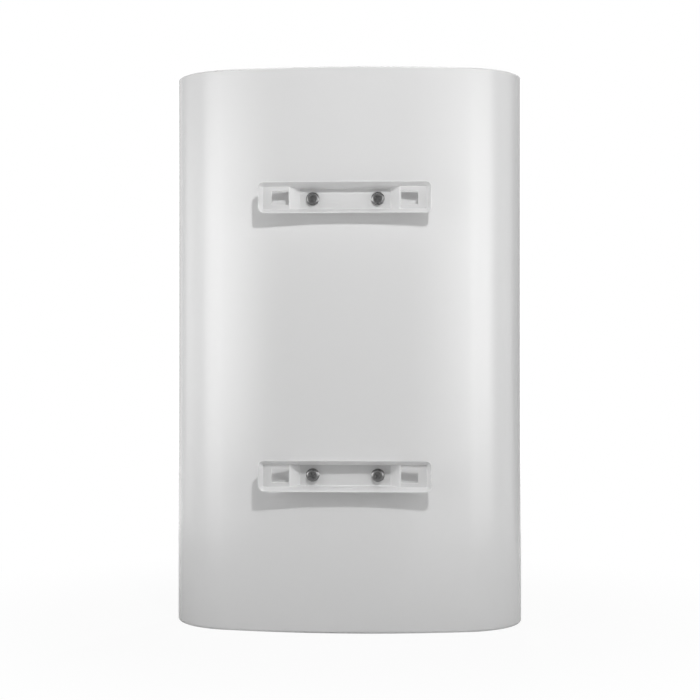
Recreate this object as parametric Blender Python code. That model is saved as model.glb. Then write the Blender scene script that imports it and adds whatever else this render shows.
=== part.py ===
"""Wall-hung storage water heater: two slim tanks side by side in a flat casing of two curved shells.

The heater stands on its bottom rim at Z = 0. The wall side, with the two brackets, faces +Y, and the
front, with the controls, faces -Y. All lengths are in metres. The casing's mid-plane is Y = 0 for every
piece, and one empty carries them all to the middle of the heater's overall depth.
"""

import math

import bmesh
import bpy
from mathutils import Matrix, Vector

# Clearances
FIT_GAP = 0.0003
RUN_GAP = 0.0005
OVERRUN = 0.003
WELD_DISTANCE = 0.000002

# Casing
CASE_WIDTH = 0.434
CASE_DEPTH = 0.205
CASE_HEIGHT = 0.684
SIDE_RADIUS = 0.088
SIDE_RADIUS_MOST_SHARE = 0.94
SHEET = 0.0012
TOP_ROUND = 0.0025
BOTTOM_ROUND = 0.0035
RIM_LAND = 0.002
RIM_RECESS = 0.004
LEDGE_REACH = 0.012
SEAM_WIDTH = 0.0024
STRIP_RECESS = 0.0004
STRIP_WALL = 0.0015
STRIP_FLANGE = 0.016

# Covers
COVER_PLATE = 0.0027
COVER_SET_IN = 0.001
COVER_SKIRT = 0.006
COVER_SKIRT_WALL = 0.002
COVER_SCREW_X = 0.105
COVER_SCREW_HEAD = 0.0038
COVER_SCREW_RADIUS = 0.0019
COVER_SCREW_LENGTH = 0.012
SCREW_RECESS_WIDTH = 0.001

# Pipe recess in the bottom cover, and what comes through its roof
RECESS_LENGTH = 0.190
RECESS_WIDTH = 0.062
RECESS_DEPTH = 0.033
RECESS_WALL = 0.002
RECESS_CORNER = 0.008
PIPE_SPACING = 0.100
PIPE_Y = 0.030
PIPE_RADIUS = 0.0105
PIPE_BORE = 0.0075
PIPE_FOOT = 0.006
PIPE_CHAMFER = 0.001
RING_RADIUS = 0.016
RING_HEIGHT = 0.0025
GLAND_RADIUS = 0.0105
GLAND_NECK = 0.0075
GLAND_BORE = 0.0045
GLAND_FLANGE = 0.003
GLAND_LENGTH = 0.016

# Wall brackets
BRACKET_LENGTH = 0.207
BRACKET_HEIGHT = 0.038
BRACKET_DEPTH = 0.025
BRACKET_CORNER = 0.0065
BRACKET_RIM = 0.0032
BRACKET_FLOOR = 0.003
BRACKET_DRAFT_DEG = 8.0
HOOK_FLOOR_DEPTH = 0.009
RAMP_FOOT = 0.054
RAMP_RUN = 0.010
HOOK_X = 0.0774
HOOK_WIDTH = 0.0205
HOOK_HEIGHT = 0.0165
UPPER_BRACKET_Z = 0.5238
LOWER_BRACKET_Z = 0.1916
BOLT_X = 0.0392
BOLT_RADIUS = 0.004
BOLT_LENGTH = 0.030
BOLT_FLANGE_RADIUS = 0.0085
BOLT_FLANGE = 0.0015
BOLT_HEX = 0.0125
BOLT_HEAD = 0.0078
BOLT_RECESS_LENGTH = 0.0075
BOLT_RECESS_WIDTH = 0.0016
BOLT_RECESS_DEPTH = 0.003

# Frames that join the bracket screws to the tanks
HANGER_HEIGHT = 0.040
HANGER_PLATE = 0.004
HANGER_REACH = 0.078

# Tanks
COMPARTMENT_HEIGHT = 0.100
FOAM_LEAST = 0.0065
FOAM_SIDE_LEAST = 0.013
FOAM_OVER_TANK = 0.016
TANK_GAP = 0.040
TANK_WALL = 0.002
TANK_DOME = 0.026
TANK_CLEAR_OF_FOAM_FOOT = 0.012
SOCKET_WALL = 0.0065
SOCKET_FALL = 0.020
TRANSFER_RADIUS = 0.007
TRANSFER_BORE = 0.0055
TRANSFER_BEND = 0.011
TRANSFER_FROM_END = 0.045
TRANSFER_ENTRY = 0.003
OUTLET_NECK_RADIUS = 0.0065
OUTLET_NECK_BORE = 0.005
OUTLET_STEP_UP = 0.030
OUTLET_TO_TOP = 0.022
INLET_ABOVE_BASE = 0.034
DIFFUSER_WALL = 0.002
DIFFUSER_HEIGHT = 0.022
DIFFUSER_SLOT = 0.005

# Element plugs and what they carry
PLUG_RADIUS = 0.021
PLUG_HEX = 0.055
PLUG_HEAD = 0.008
GASKET = 0.002
ELEMENT_RADIUS = 0.004
ELEMENT_SPREAD = 0.024
ELEMENT_HEIGHT = 0.300
ELEMENT_TAIL = 0.009
ANODE_RADIUS = 0.0075
ANODE_STUD_RADIUS = 0.003
ANODE_OFFSET = 0.0105
ANODE_START = 0.020
ANODE_LENGTH = 0.220
WELL_RADIUS = 0.0045
WELL_BORE = 0.0034
WELL_OFFSET = 0.0115
WELL_HEIGHT = 0.240
WELL_TAIL = 0.002
SENSOR_RADIUS = 0.003
SENSOR_TAIL = 0.006

# Thermal cut-out, hung under the hot tank's plug
CUTOUT_LENGTH = 0.038
CUTOUT_WIDTH = 0.024
CUTOUT_HEIGHT = 0.018
CUTOUT_DROP = 0.020
CUTOUT_POST = 0.003
RESET_RADIUS = 0.0035
RESET_CAP = 0.0055
RESET_CAP_HEIGHT = 0.003
RESET_STEM = 0.008
RESET_TRAVEL = 0.0015

# Terminal block
TERMINAL_X = 0.105
TERMINAL_Y = -0.042
TERMINAL_LENGTH = 0.044
TERMINAL_WIDTH = 0.022
TERMINAL_HEIGHT = 0.018
TERMINAL_BORE = 0.003
TERMINAL_BORE_DEPTH = 0.006
TERMINAL_PITCH = 0.013

# Leads held inside
LEAD_RADIUS = 0.0014
LEAD_LIFT = 0.012

# Control panel in the front shell
PANEL_Z = 0.072
PANEL_LENGTH = 0.170
PANEL_HEIGHT = 0.056
PANEL_CORNER = 0.009
BEZEL_PROUD = 0.0018
BEZEL_LIP = 0.003
BEZEL_WALL = 0.003
BEZEL_SIDE = 0.002
BEZEL_REACH = 0.009
DISPLAY_X = -0.053
DISPLAY_LENGTH = 0.048
DISPLAY_HEIGHT = 0.030
DISPLAY_CORNER = 0.003
DISPLAY_THICKNESS = 0.0014
DISPLAY_PROUD = 0.0003
DISPLAY_LEDGE = 0.003
MODULE_THICKNESS = 0.004
KNOB_RADIUS = 0.021
KNOB_FACE_RADIUS = 0.019
KNOB_STAND = 0.016
KNOB_ROUND = 0.002
KNOB_WALL = 0.002
KNOB_HUB_RADIUS = 0.0055
KNOB_MARK_WIDTH = 0.0016
KNOB_MARK_DEPTH = 0.0006
KNOB_MARK_LENGTH = 0.009
SHAFT_RADIUS = 0.003
SELECTOR_SIZE = 0.015
SELECTOR_HEIGHT = 0.007
POWER_X = 0.040
MODE_X = 0.064
BUTTON_RADIUS = 0.0078
BUTTON_SHOULDER = 0.001
BUTTON_SHOULDER_THICKNESS = 0.0012
BUTTON_PROUD = 0.0018
BUTTON_ROUND = 0.0008
BUTTON_STEM = 0.0025
BUTTON_TRAVEL = 0.0012
SWITCH_SIZE = 0.006
SWITCH_HEIGHT = 0.0035
LENS_X = 0.052
LENS_Z_OFFSET = 0.017
LENS_RADIUS = 0.002
BOARD_LENGTH = 0.150
BOARD_HEIGHT = 0.046
BOARD_THICKNESS = 0.0016
BOARD_BACK = 0.022
POST_RADIUS = 0.003
POST_X = 0.0710
POST_Z_OFFSET = 0.0185

# Facets
SIDE_STEPS = 7
CROWN_STEPS = 9
ROUND_STEPS = 3
TANK_STEPS = 24
DOME_STEPS = 4
BORE_STEPS = 14
HEX_SIDES = 6
KNOB_STEPS = 28
TUBE_STEPS = 10
BEND_STEPS = 5
SMOOTH_DEG = 32.0

# Plan of the casing: two shallow crowns joined by two round sides
HALF_DEPTH = CASE_DEPTH / 2
SIDE_ARC = min(SIDE_RADIUS, SIDE_RADIUS_MOST_SHARE * HALF_DEPTH)
SIDE_X = CASE_WIDTH / 2 - SIDE_ARC
CROWN_ARC = (HALF_DEPTH**2 + SIDE_X**2 - SIDE_ARC**2) / (2 * (HALF_DEPTH - SIDE_ARC))
CROWN_Y = HALF_DEPTH - CROWN_ARC
CROWN_TURN = math.atan2(SIDE_X, -CROWN_Y)
SIDE_TURN = math.pi / 2 - CROWN_TURN

# Levels and places that several pieces share
RIM_WIDTH_BOTTOM = BOTTOM_ROUND + RIM_LAND
RIM_WIDTH_TOP = TOP_ROUND + RIM_LAND
LEDGE_EDGE_BOTTOM = RIM_WIDTH_BOTTOM + LEDGE_REACH
LEDGE_EDGE_TOP = RIM_WIDTH_TOP + LEDGE_REACH
BODY_Y = (KNOB_STAND - BRACKET_DEPTH) / 2
FACET_SAG = SIDE_ARC * (1 - math.cos(SIDE_TURN / SIDE_STEPS / 2))
STRIP_BOW = SIDE_ARC - math.sqrt(SIDE_ARC**2 - (STRIP_FLANGE / 2) ** 2)
STRIP_INSET = SHEET + FIT_GAP + FACET_SAG + STRIP_BOW
RIM_Y = HALF_DEPTH + BRACKET_DEPTH
RECESS_ROOF = COVER_SET_IN + RECESS_DEPTH
FOAM_FOOT = COMPARTMENT_HEIGHT
FOAM_HEAD = CASE_HEIGHT - RIM_RECESS - SHEET - COVER_SKIRT - FIT_GAP
PIPE_X = PIPE_SPACING / 2


def crown_depth(x, inset=0.0):
    """Distance from the mid-plane to the casing, set in by inset, at x."""
    if abs(x) <= (CROWN_ARC - inset) * math.sin(CROWN_TURN):
        return CROWN_Y + math.sqrt((CROWN_ARC - inset) ** 2 - x**2)
    return math.sqrt(max((SIDE_ARC - inset) ** 2 - (abs(x) - SIDE_X) ** 2, 0.0))


TANK_RADIUS = min(
    crown_depth(SIDE_X) - SHEET - FOAM_LEAST,
    (CASE_WIDTH / 2 - SHEET - FOAM_SIDE_LEAST - TANK_GAP / 2) / 2,
)
TANK_X = TANK_GAP / 2 + TANK_RADIUS
TANK_BASE = FOAM_FOOT + TANK_CLEAR_OF_FOAM_FOOT
TANK_HEAD = FOAM_HEAD - FOAM_OVER_TANK
SOCKET_RADIUS = PLUG_RADIUS + SOCKET_WALL
SOCKET_FOOT = TANK_BASE - SOCKET_FALL
PLUG_FACE = SOCKET_FOOT - GASKET - 2 * FIT_GAP
PLUG_FOOT = PLUG_FACE - PLUG_HEAD
BOARD_Y = -(HALF_DEPTH - BOARD_BACK)


def material(name, colour, roughness, metallic=0.0):
    """A plain Principled material."""
    made = bpy.data.materials.new(name)
    made.use_nodes = True
    shader = made.node_tree.nodes["Principled BSDF"]
    shader.inputs["Base Color"].default_value = (*colour, 1.0)
    shader.inputs["Roughness"].default_value = roughness
    shader.inputs["Metallic"].default_value = metallic
    made.diffuse_color = (*colour, 1.0)
    return made


def empty(name, parent=None, place=(0.0, 0.0, 0.0)):
    """An empty that carries pieces or marks a joint's axis."""
    made = bpy.data.objects.new(name, None)
    bpy.context.scene.collection.objects.link(made)
    made.parent = parent
    made.location = place
    return made


def finish(bm, name, parent, surface=None, origin=(0.0, 0.0, 0.0)):
    """Turns a bmesh in the casing's frame into an object whose origin is at origin."""
    bmesh.ops.remove_doubles(bm, verts=bm.verts, dist=WELD_DISTANCE)
    bmesh.ops.recalc_face_normals(bm, faces=bm.faces)
    bmesh.ops.translate(bm, verts=bm.verts, vec=-Vector(origin))
    mesh = bpy.data.meshes.new(name)
    bm.to_mesh(mesh)
    bm.free()
    mesh.shade_smooth()
    mesh.set_sharp_from_angle(angle=math.radians(SMOOTH_DEG))
    made = bpy.data.objects.new(name, mesh)
    bpy.context.scene.collection.objects.link(made)
    made.parent = parent
    if surface:
        mesh.materials.append(surface)
    return made


def boolean(target, helper, operation="DIFFERENCE"):
    """Cuts, joins or trims target with a hidden helper."""
    step = target.modifiers.new(helper.name, "BOOLEAN")
    step.operation = operation
    step.solver = "EXACT"
    step.object = helper
    helper.hide_render = True
    helper.display_type = "WIRE"


def settle(target):
    """Applies target's modifiers to its mesh, for pieces that share one mesh."""
    bpy.context.view_layer.update()
    evaluated = target.evaluated_get(bpy.context.evaluated_depsgraph_get())
    mesh = bpy.data.meshes.new_from_object(evaluated)
    mesh.set_sharp_from_angle(angle=math.radians(SMOOTH_DEG))
    target.modifiers.clear()
    target.data = mesh


def twin(source, name, place):
    """Another piece with the same mesh."""
    made = bpy.data.objects.new(name, source.data)
    bpy.context.scene.collection.objects.link(made)
    made.parent = source.parent
    made.location = place


def chain(bm, points, closed=False):
    """Vertices joined by edges, in order."""
    verts = [bm.verts.new(point) for point in points]
    edges = [bm.edges.new(pair) for pair in zip(verts, verts[1:])]
    if closed:
        edges.append(bm.edges.new((verts[-1], verts[0])))
    return verts + edges


def turned(points, steps, centre=(0.0, 0.0), closed=False):
    """A profile of (radius, z) points turned about the vertical through centre."""
    bm = bmesh.new()
    geometry = chain(bm, [(radius, 0.0, z) for radius, z in points], closed)
    bmesh.ops.spin(
        bm,
        geom=geometry,
        cent=(0.0, 0.0, 0.0),
        axis=(0.0, 0.0, 1.0),
        angle=2 * math.pi,
        steps=steps,
        use_merge=True,
        use_duplicate=False,
    )
    bmesh.ops.translate(bm, verts=bm.verts, vec=(*centre, 0.0))
    return bm


def lay_along_y(bm, x, z, sign=1.0):
    """Turns a shape made about Z so that its Z runs along sign times Y, through (x, z)."""
    turn = Matrix.Rotation(-sign * math.pi / 2, 4, "X")
    bmesh.ops.transform(bm, matrix=Matrix.Translation((x, 0.0, z)) @ turn, verts=bm.verts)
    return bm


def rod(radius, low, high, steps, centre=(0.0, 0.0)):
    """A plain cylinder about the vertical through centre."""
    return turned([(0.0, low), (radius, low), (radius, high), (0.0, high)], steps, centre)


def box(low, high):
    """A block between two corners."""
    bm = bmesh.new()
    bmesh.ops.create_cube(bm, size=1.0)
    size = Vector(high) - Vector(low)
    middle = (Vector(high) + Vector(low)) / 2
    bmesh.ops.transform(bm, matrix=Matrix.Translation(middle) @ Matrix.Diagonal((*size, 1.0)), verts=bm.verts)
    return bm


def round_edges(bm, direction, radius, keep=lambda edge: True):
    """Rounds the edges of bm that run along direction."""
    along = [
        edge
        for edge in bm.edges
        if abs((edge.verts[1].co - edge.verts[0].co).normalized().dot(direction)) > 0.9 and keep(edge)
    ]
    bmesh.ops.bevel(
        bm,
        geom=along,
        offset=radius,
        offset_type="OFFSET",
        segments=ROUND_STEPS,
        profile=0.5,
        affect="EDGES",
        material=-1,
    )
    return bm


def frustum(near, far):
    """A tapered block; near and far are (half length, half height, y, middle z)."""
    bm = bmesh.new()
    loops = []
    for half_length, half_height, y, z in (near, far):
        corners = ((-1, -1), (1, -1), (1, 1), (-1, 1))
        loops.append([bm.verts.new((a * half_length, y, z + b * half_height)) for a, b in corners])
    for verts in loops:
        bm.faces.new(verts)
    for i in range(len(loops[0])):
        j = (i + 1) % len(loops[0])
        bm.faces.new((loops[0][i], loops[0][j], loops[1][j], loops[1][i]))
    return bm


def plan_arcs(start):
    """The rear half of the casing's plan from +X to -X as (centre, turn, steps), start past the mid-plane."""
    return [
        (Vector((SIDE_X, 0.0, 0.0)), SIDE_TURN - start, SIDE_STEPS),
        (Vector((0.0, CROWN_Y, 0.0)), 2 * CROWN_TURN, CROWN_STEPS),
        (Vector((-SIDE_X, 0.0, 0.0)), SIDE_TURN - start, SIDE_STEPS),
    ]


def spin_on(bm, geometry, arcs):
    """Sweeps geometry through arcs, one after the other."""
    for centre, turn, steps in arcs:
        swept = bmesh.ops.spin(
            bm,
            geom=geometry,
            cent=centre,
            axis=(0.0, 0.0, 1.0),
            angle=turn,
            steps=steps,
            use_duplicate=False,
        )
        geometry = swept["geom_last"]


def half_round(section, start, sign):
    """A closed section of (inset, z) points swept round the rear (sign 1) or front (sign -1) half."""
    bm = bmesh.new()
    reach = CASE_WIDTH / 2
    face = bm.faces.new([bm.verts.new((reach - inset, 0.0, z)) for inset, z in section])
    geometry = [*face.verts, *face.edges, face]
    bmesh.ops.rotate(
        bm,
        verts=face.verts,
        cent=(SIDE_X, 0.0, 0.0),
        matrix=Matrix.Rotation(start, 3, "Z"),
    )
    spin_on(bm, geometry, plan_arcs(start))
    if sign < 0:
        bmesh.ops.rotate(bm, verts=bm.verts, cent=(0.0, 0.0, 0.0), matrix=Matrix.Rotation(math.pi, 3, "Z"))
    return bm


def all_round(levels):
    """A solid of the casing's plan: levels are (inset, z) points from one flat cap to the other."""
    bm = bmesh.new()
    reach = CASE_WIDTH / 2
    geometry = chain(bm, [(reach - inset, 0.0, z) for inset, z in levels])
    arcs = plan_arcs(0.0)
    behind = [(-centre, turn, steps) for centre, turn, steps in arcs]
    spin_on(bm, geometry, arcs + behind)
    bmesh.ops.remove_doubles(bm, verts=bm.verts, dist=WELD_DISTANCE)
    bmesh.ops.holes_fill(bm, edges=bm.edges)
    return bm


def crown_block(middle, length, low, high, outer, inner, corner=0.0):
    """A block that follows the front crown, from inset outer to inset inner, with round corners."""
    bm = bmesh.new()
    radius = CROWN_ARC
    loop = ((outer, low), (inner, low), (inner, high), (outer, high))
    face = bm.faces.new([bm.verts.new((0.0, CROWN_Y + radius - inset, z)) for inset, z in loop])
    geometry = [*face.verts, *face.edges, face]
    half_turn = math.asin(length / 2 / radius)
    offset = math.asin(middle / radius)
    axis_point = Vector((0.0, CROWN_Y, 0.0))
    bmesh.ops.rotate(bm, verts=face.verts, cent=axis_point, matrix=Matrix.Rotation(-half_turn, 3, "Z"))
    spin_on(bm, geometry, [(axis_point, 2 * half_turn, CROWN_STEPS)])
    if corner:
        ends = max(abs(vert.co.x) for vert in bm.verts) * 0.98
        across = Vector((0.0, 1.0, 0.0))
        round_edges(bm, across, corner, lambda edge: min(abs(v.co.x) for v in edge.verts) > ends)
    bmesh.ops.rotate(bm, verts=bm.verts, cent=axis_point, matrix=Matrix.Rotation(offset, 3, "Z"))
    bmesh.ops.rotate(bm, verts=bm.verts, cent=(0.0, 0.0, 0.0), matrix=Matrix.Rotation(math.pi, 3, "Z"))
    return bm


def smooth_route(points, spacing):
    """A route with straight first and last legs, read every spacing from a smooth curve between them."""
    before = points[2] - 2 * (points[1] - points[0])
    after = points[-3] + 2 * (points[-1] - points[-2])
    ends = [before, *points[1:-1], after]
    route = [points[0], points[1]]
    for a, b, c, d in zip(ends, ends[1:], ends[2:], ends[3:]):
        count = max(round((c - b).length / spacing), 2)
        for i in range(1, count + 1):
            t = i / count
            bend = (2 * a - 5 * b + 4 * c - d) * t**2 + (3 * b - a - 3 * c + d) * t**3
            route.append((2 * b + (c - a) * t + bend) / 2)
    route.append(points[-1])
    return route


def bent_route(corners, radius):
    """The corners of a route with each inner one made round."""
    route = [corners[0]]
    for before, corner, after in zip(corners, corners[1:], corners[2:]):
        into = (corner - before).normalized()
        out = (after - corner).normalized()
        half = into.angle(out) / 2
        reach = radius * math.tan(half)
        centre = corner + (out - into).normalized() * (radius / math.cos(half))
        start = corner - into * reach - centre
        turn_axis = into.cross(out).normalized()
        for i in range(BEND_STEPS + 1):
            route.append(centre + Matrix.Rotation(2 * half * i / BEND_STEPS, 3, turn_axis) @ start)
    route.append(corners[-1])
    return route


def tube(name, route, radius, parent, surface=None):
    """A round solid along a route, as a curve with filled ends."""
    curve = bpy.data.curves.new(name, "CURVE")
    curve.dimensions = "3D"
    curve.bevel_depth = radius
    curve.bevel_resolution = 2
    curve.use_fill_caps = True
    spline = curve.splines.new("POLY")
    spline.points.add(len(route) - 1)
    for point, place in zip(spline.points, route):
        point.co = (*place, 1.0)
    made = bpy.data.objects.new(name, curve)
    bpy.context.scene.collection.objects.link(made)
    made.parent = parent
    if surface:
        curve.materials.append(surface)
    return made


def as_mesh(made):
    """The object of a tube as a mesh, so that a Boolean can use it."""
    bpy.context.view_layer.update()
    evaluated = made.evaluated_get(bpy.context.evaluated_depsgraph_get())
    mesh = bpy.data.meshes.new_from_object(evaluated)
    solid = bpy.data.objects.new(made.name, mesh)
    solid.parent = made.parent
    bpy.context.scene.collection.objects.link(solid)
    name = made.name
    bpy.data.objects.remove(made)
    solid.name = name
    return solid


def shell_section():
    """Section of a casing shell: wall, round rims with a flat land, and a ledge behind each rim."""
    points = []
    for i in range(ROUND_STEPS + 1):
        angle = math.pi / 2 * i / ROUND_STEPS
        points.append((BOTTOM_ROUND * (1 - math.sin(angle)), BOTTOM_ROUND * (1 - math.cos(angle))))
    for i in range(ROUND_STEPS + 1):
        angle = math.pi / 2 * i / ROUND_STEPS
        points.append((TOP_ROUND * (1 - math.cos(angle)), CASE_HEIGHT - TOP_ROUND * (1 - math.sin(angle))))
    top_ledge = CASE_HEIGHT - RIM_RECESS
    points += [
        (RIM_WIDTH_TOP, CASE_HEIGHT),
        (RIM_WIDTH_TOP, top_ledge),
        (LEDGE_EDGE_TOP, top_ledge),
        (LEDGE_EDGE_TOP, top_ledge - SHEET),
        (SHEET, top_ledge - SHEET),
        (SHEET, RIM_RECESS + SHEET),
        (LEDGE_EDGE_BOTTOM, RIM_RECESS + SHEET),
        (LEDGE_EDGE_BOTTOM, RIM_RECESS),
        (RIM_WIDTH_BOTTOM, RIM_RECESS),
        (RIM_WIDTH_BOTTOM, 0.0),
    ]
    return points


def cover_screw_places():
    """Where the bottom cover is screwed to the shells' ledges, by the names of the screws."""
    inset = RIM_WIDTH_BOTTOM + LEDGE_REACH / 2
    y = crown_depth(COVER_SCREW_X, inset)
    return {
        "front_left": (-COVER_SCREW_X, -y),
        "front_right": (COVER_SCREW_X, -y),
        "rear_left": (-COVER_SCREW_X, y),
        "rear_right": (COVER_SCREW_X, y),
    }


def bracket_levels():
    """Height of each bracket's middle, by name."""
    return {"upper": UPPER_BRACKET_Z, "lower": LOWER_BRACKET_Z}


def make_casing(parent, surface):
    """The rear and front shells, with their holes for screws and for the control panel."""
    start = math.asin(SEAM_WIDTH / 2 / SIDE_ARC)
    rear = finish(half_round(shell_section(), start, 1), "rear_casing", parent, surface)
    front = finish(half_round(shell_section(), start, -1), "front_casing", parent, surface)
    for level, z in bracket_levels().items():
        for side in (-1, 1):
            hole = rod(BOLT_RADIUS + RUN_GAP, HALF_DEPTH - BRACKET_DEPTH, RIM_Y, BORE_STEPS)
            lay_along_y(hole, side * BOLT_X, z)
            boolean(rear, finish(hole, f"cut_bolt_{level}_{side}", parent))
    for corner, place in cover_screw_places().items():
        hole = rod(COVER_SCREW_RADIUS + FIT_GAP, 0.0, RIM_RECESS + SHEET + OVERRUN, BORE_STEPS, place)
        shell = front if corner.startswith("front") else rear
        boolean(shell, finish(hole, f"cut_ledge_{corner}", parent))
    window = crown_block(
        0.0,
        PANEL_LENGTH,
        PANEL_Z - PANEL_HEIGHT / 2,
        PANEL_Z + PANEL_HEIGHT / 2,
        -OVERRUN,
        SHEET + OVERRUN,
        PANEL_CORNER,
    )
    boolean(front, finish(window, "cut_panel_window", parent))


def make_side_strips(parent, surface):
    """The joint strips between the shells: a web that shows in the seam and a flange behind it."""
    ledge = RIM_RECESS + SHEET + FIT_GAP
    flange_face = CASE_WIDTH / 2 - STRIP_INSET
    web_face = CASE_WIDTH / 2 - STRIP_RECESS
    half_web = SEAM_WIDTH / 2 - FIT_GAP
    for side, sign in (("left", -1), ("right", 1)):
        web_ends = sorted((sign * web_face, sign * (flange_face - STRIP_WALL / 2)))
        flange_ends = sorted((sign * flange_face, sign * (flange_face - STRIP_WALL)))
        web = box(
            (web_ends[0], -half_web, BOTTOM_ROUND),
            (web_ends[1], half_web, CASE_HEIGHT - TOP_ROUND),
        )
        flange = box(
            (flange_ends[0], -STRIP_FLANGE / 2, ledge),
            (flange_ends[1], STRIP_FLANGE / 2, CASE_HEIGHT - ledge),
        )
        strip = finish(flange, f"side_strip_{side}", parent, surface)
        boolean(strip, finish(web, f"join_web_{side}", parent), "UNION")


def make_top_cover(parent, surface):
    """The lid that lies on the top ledges, with a skirt inside them."""
    plate_top = CASE_HEIGHT - COVER_SET_IN
    plate_foot = CASE_HEIGHT - RIM_RECESS + FIT_GAP
    skirt_foot = CASE_HEIGHT - RIM_RECESS - SHEET - COVER_SKIRT
    edge = RIM_WIDTH_TOP + FIT_GAP
    skirt = LEDGE_EDGE_TOP + FIT_GAP
    levels = [
        (edge, plate_top),
        (edge, plate_foot),
        (skirt, plate_foot),
        (skirt, skirt_foot),
        (skirt + COVER_SKIRT_WALL, skirt_foot),
        (skirt + COVER_SKIRT_WALL, plate_top - COVER_PLATE),
    ]
    finish(all_round(levels), "top_cover", parent, surface)


def recess_block(grow, low, high):
    """The pipe recess's block, grown all round by grow, from low to high."""
    half_length = RECESS_LENGTH / 2 + grow
    half_width = RECESS_WIDTH / 2 + grow
    block = box((-half_length, PIPE_Y - half_width, low), (half_length, PIPE_Y + half_width, high))
    return round_edges(block, Vector((0.0, 0.0, 1.0)), RECESS_CORNER + grow)


def cover_screw_profile(grow, low):
    """Profile of a countersunk cover screw, grown by grow, with its face at low."""
    neck = COVER_SCREW_RADIUS + grow
    head = COVER_SCREW_HEAD + grow
    return [
        (0.0, low),
        (head, low),
        (head, COVER_SET_IN + SCREW_RECESS_WIDTH / 2),
        (neck, COVER_SET_IN + SCREW_RECESS_WIDTH / 2 + COVER_SCREW_HEAD - COVER_SCREW_RADIUS),
        (neck, COVER_SET_IN + COVER_SCREW_LENGTH + grow),
        (0.0, COVER_SET_IN + COVER_SCREW_LENGTH + grow),
    ]


def make_bottom_cover(parent, surface):
    """The plate that closes the bottom, with the pipe recess and the holes for pipes, gland and screws."""
    edge = RIM_WIDTH_BOTTOM + FIT_GAP
    skirt = LEDGE_EDGE_BOTTOM + FIT_GAP
    skirt_head = RIM_RECESS + SHEET + COVER_SKIRT
    levels = [
        (edge, COVER_SET_IN),
        (edge, RIM_RECESS - FIT_GAP),
        (skirt, RIM_RECESS - FIT_GAP),
        (skirt, skirt_head),
        (skirt + COVER_SKIRT_WALL, skirt_head),
        (skirt + COVER_SKIRT_WALL, COVER_SET_IN + COVER_PLATE),
    ]
    cover = finish(all_round(levels), "bottom_cover", parent, surface)
    shell = recess_block(RECESS_WALL, COVER_SET_IN, RECESS_ROOF + RECESS_WALL)
    boolean(cover, finish(shell, "join_recess", parent), "UNION")
    hollow = recess_block(0.0, COVER_SET_IN - OVERRUN, RECESS_ROOF)
    boolean(cover, finish(hollow, "cut_recess", parent))
    low = RECESS_ROOF - OVERRUN
    high = RECESS_ROOF + RECESS_WALL + OVERRUN
    holes = {
        "cold_pipe": (PIPE_RADIUS + RUN_GAP, (PIPE_X, PIPE_Y)),
        "hot_pipe": (PIPE_RADIUS + RUN_GAP, (-PIPE_X, PIPE_Y)),
        "gland": (GLAND_NECK + FIT_GAP, (0.0, PIPE_Y)),
    }
    for name, (radius, place) in holes.items():
        boolean(cover, finish(rod(radius, low, high, BORE_STEPS, place), f"cut_{name}", parent))
    for corner, place in cover_screw_places().items():
        sink = turned(cover_screw_profile(FIT_GAP, COVER_SET_IN - OVERRUN), BORE_STEPS, place)
        boolean(cover, finish(sink, f"cut_sink_{corner}", parent))


def cross(length, width, low, high):
    """The two bars that cut a cross recess about Z."""
    bars = []
    for a, b in ((length / 2, width / 2), (width / 2, length / 2)):
        bars.append(box((-a, -b, low), (a, b, high)))
    return bars


def make_cover_screws(parent, surface):
    """Four countersunk screws, which share one mesh."""
    first = None
    for corner, place in cover_screw_places().items():
        name = f"cover_screw_{corner}"
        if first:
            twin(first, name, (*place, 0.0))
            continue
        first = finish(turned(cover_screw_profile(0.0, COVER_SET_IN), BORE_STEPS), name, parent, surface)
        depth = COVER_SET_IN + SCREW_RECESS_WIDTH
        bars = cross(COVER_SCREW_HEAD, SCREW_RECESS_WIDTH, COVER_SET_IN - OVERRUN, depth)
        for i, bar in enumerate(bars):
            boolean(first, finish(bar, f"cut_cover_cross_{i}", parent))
        settle(first)
        first.location = (*place, 0.0)


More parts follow.
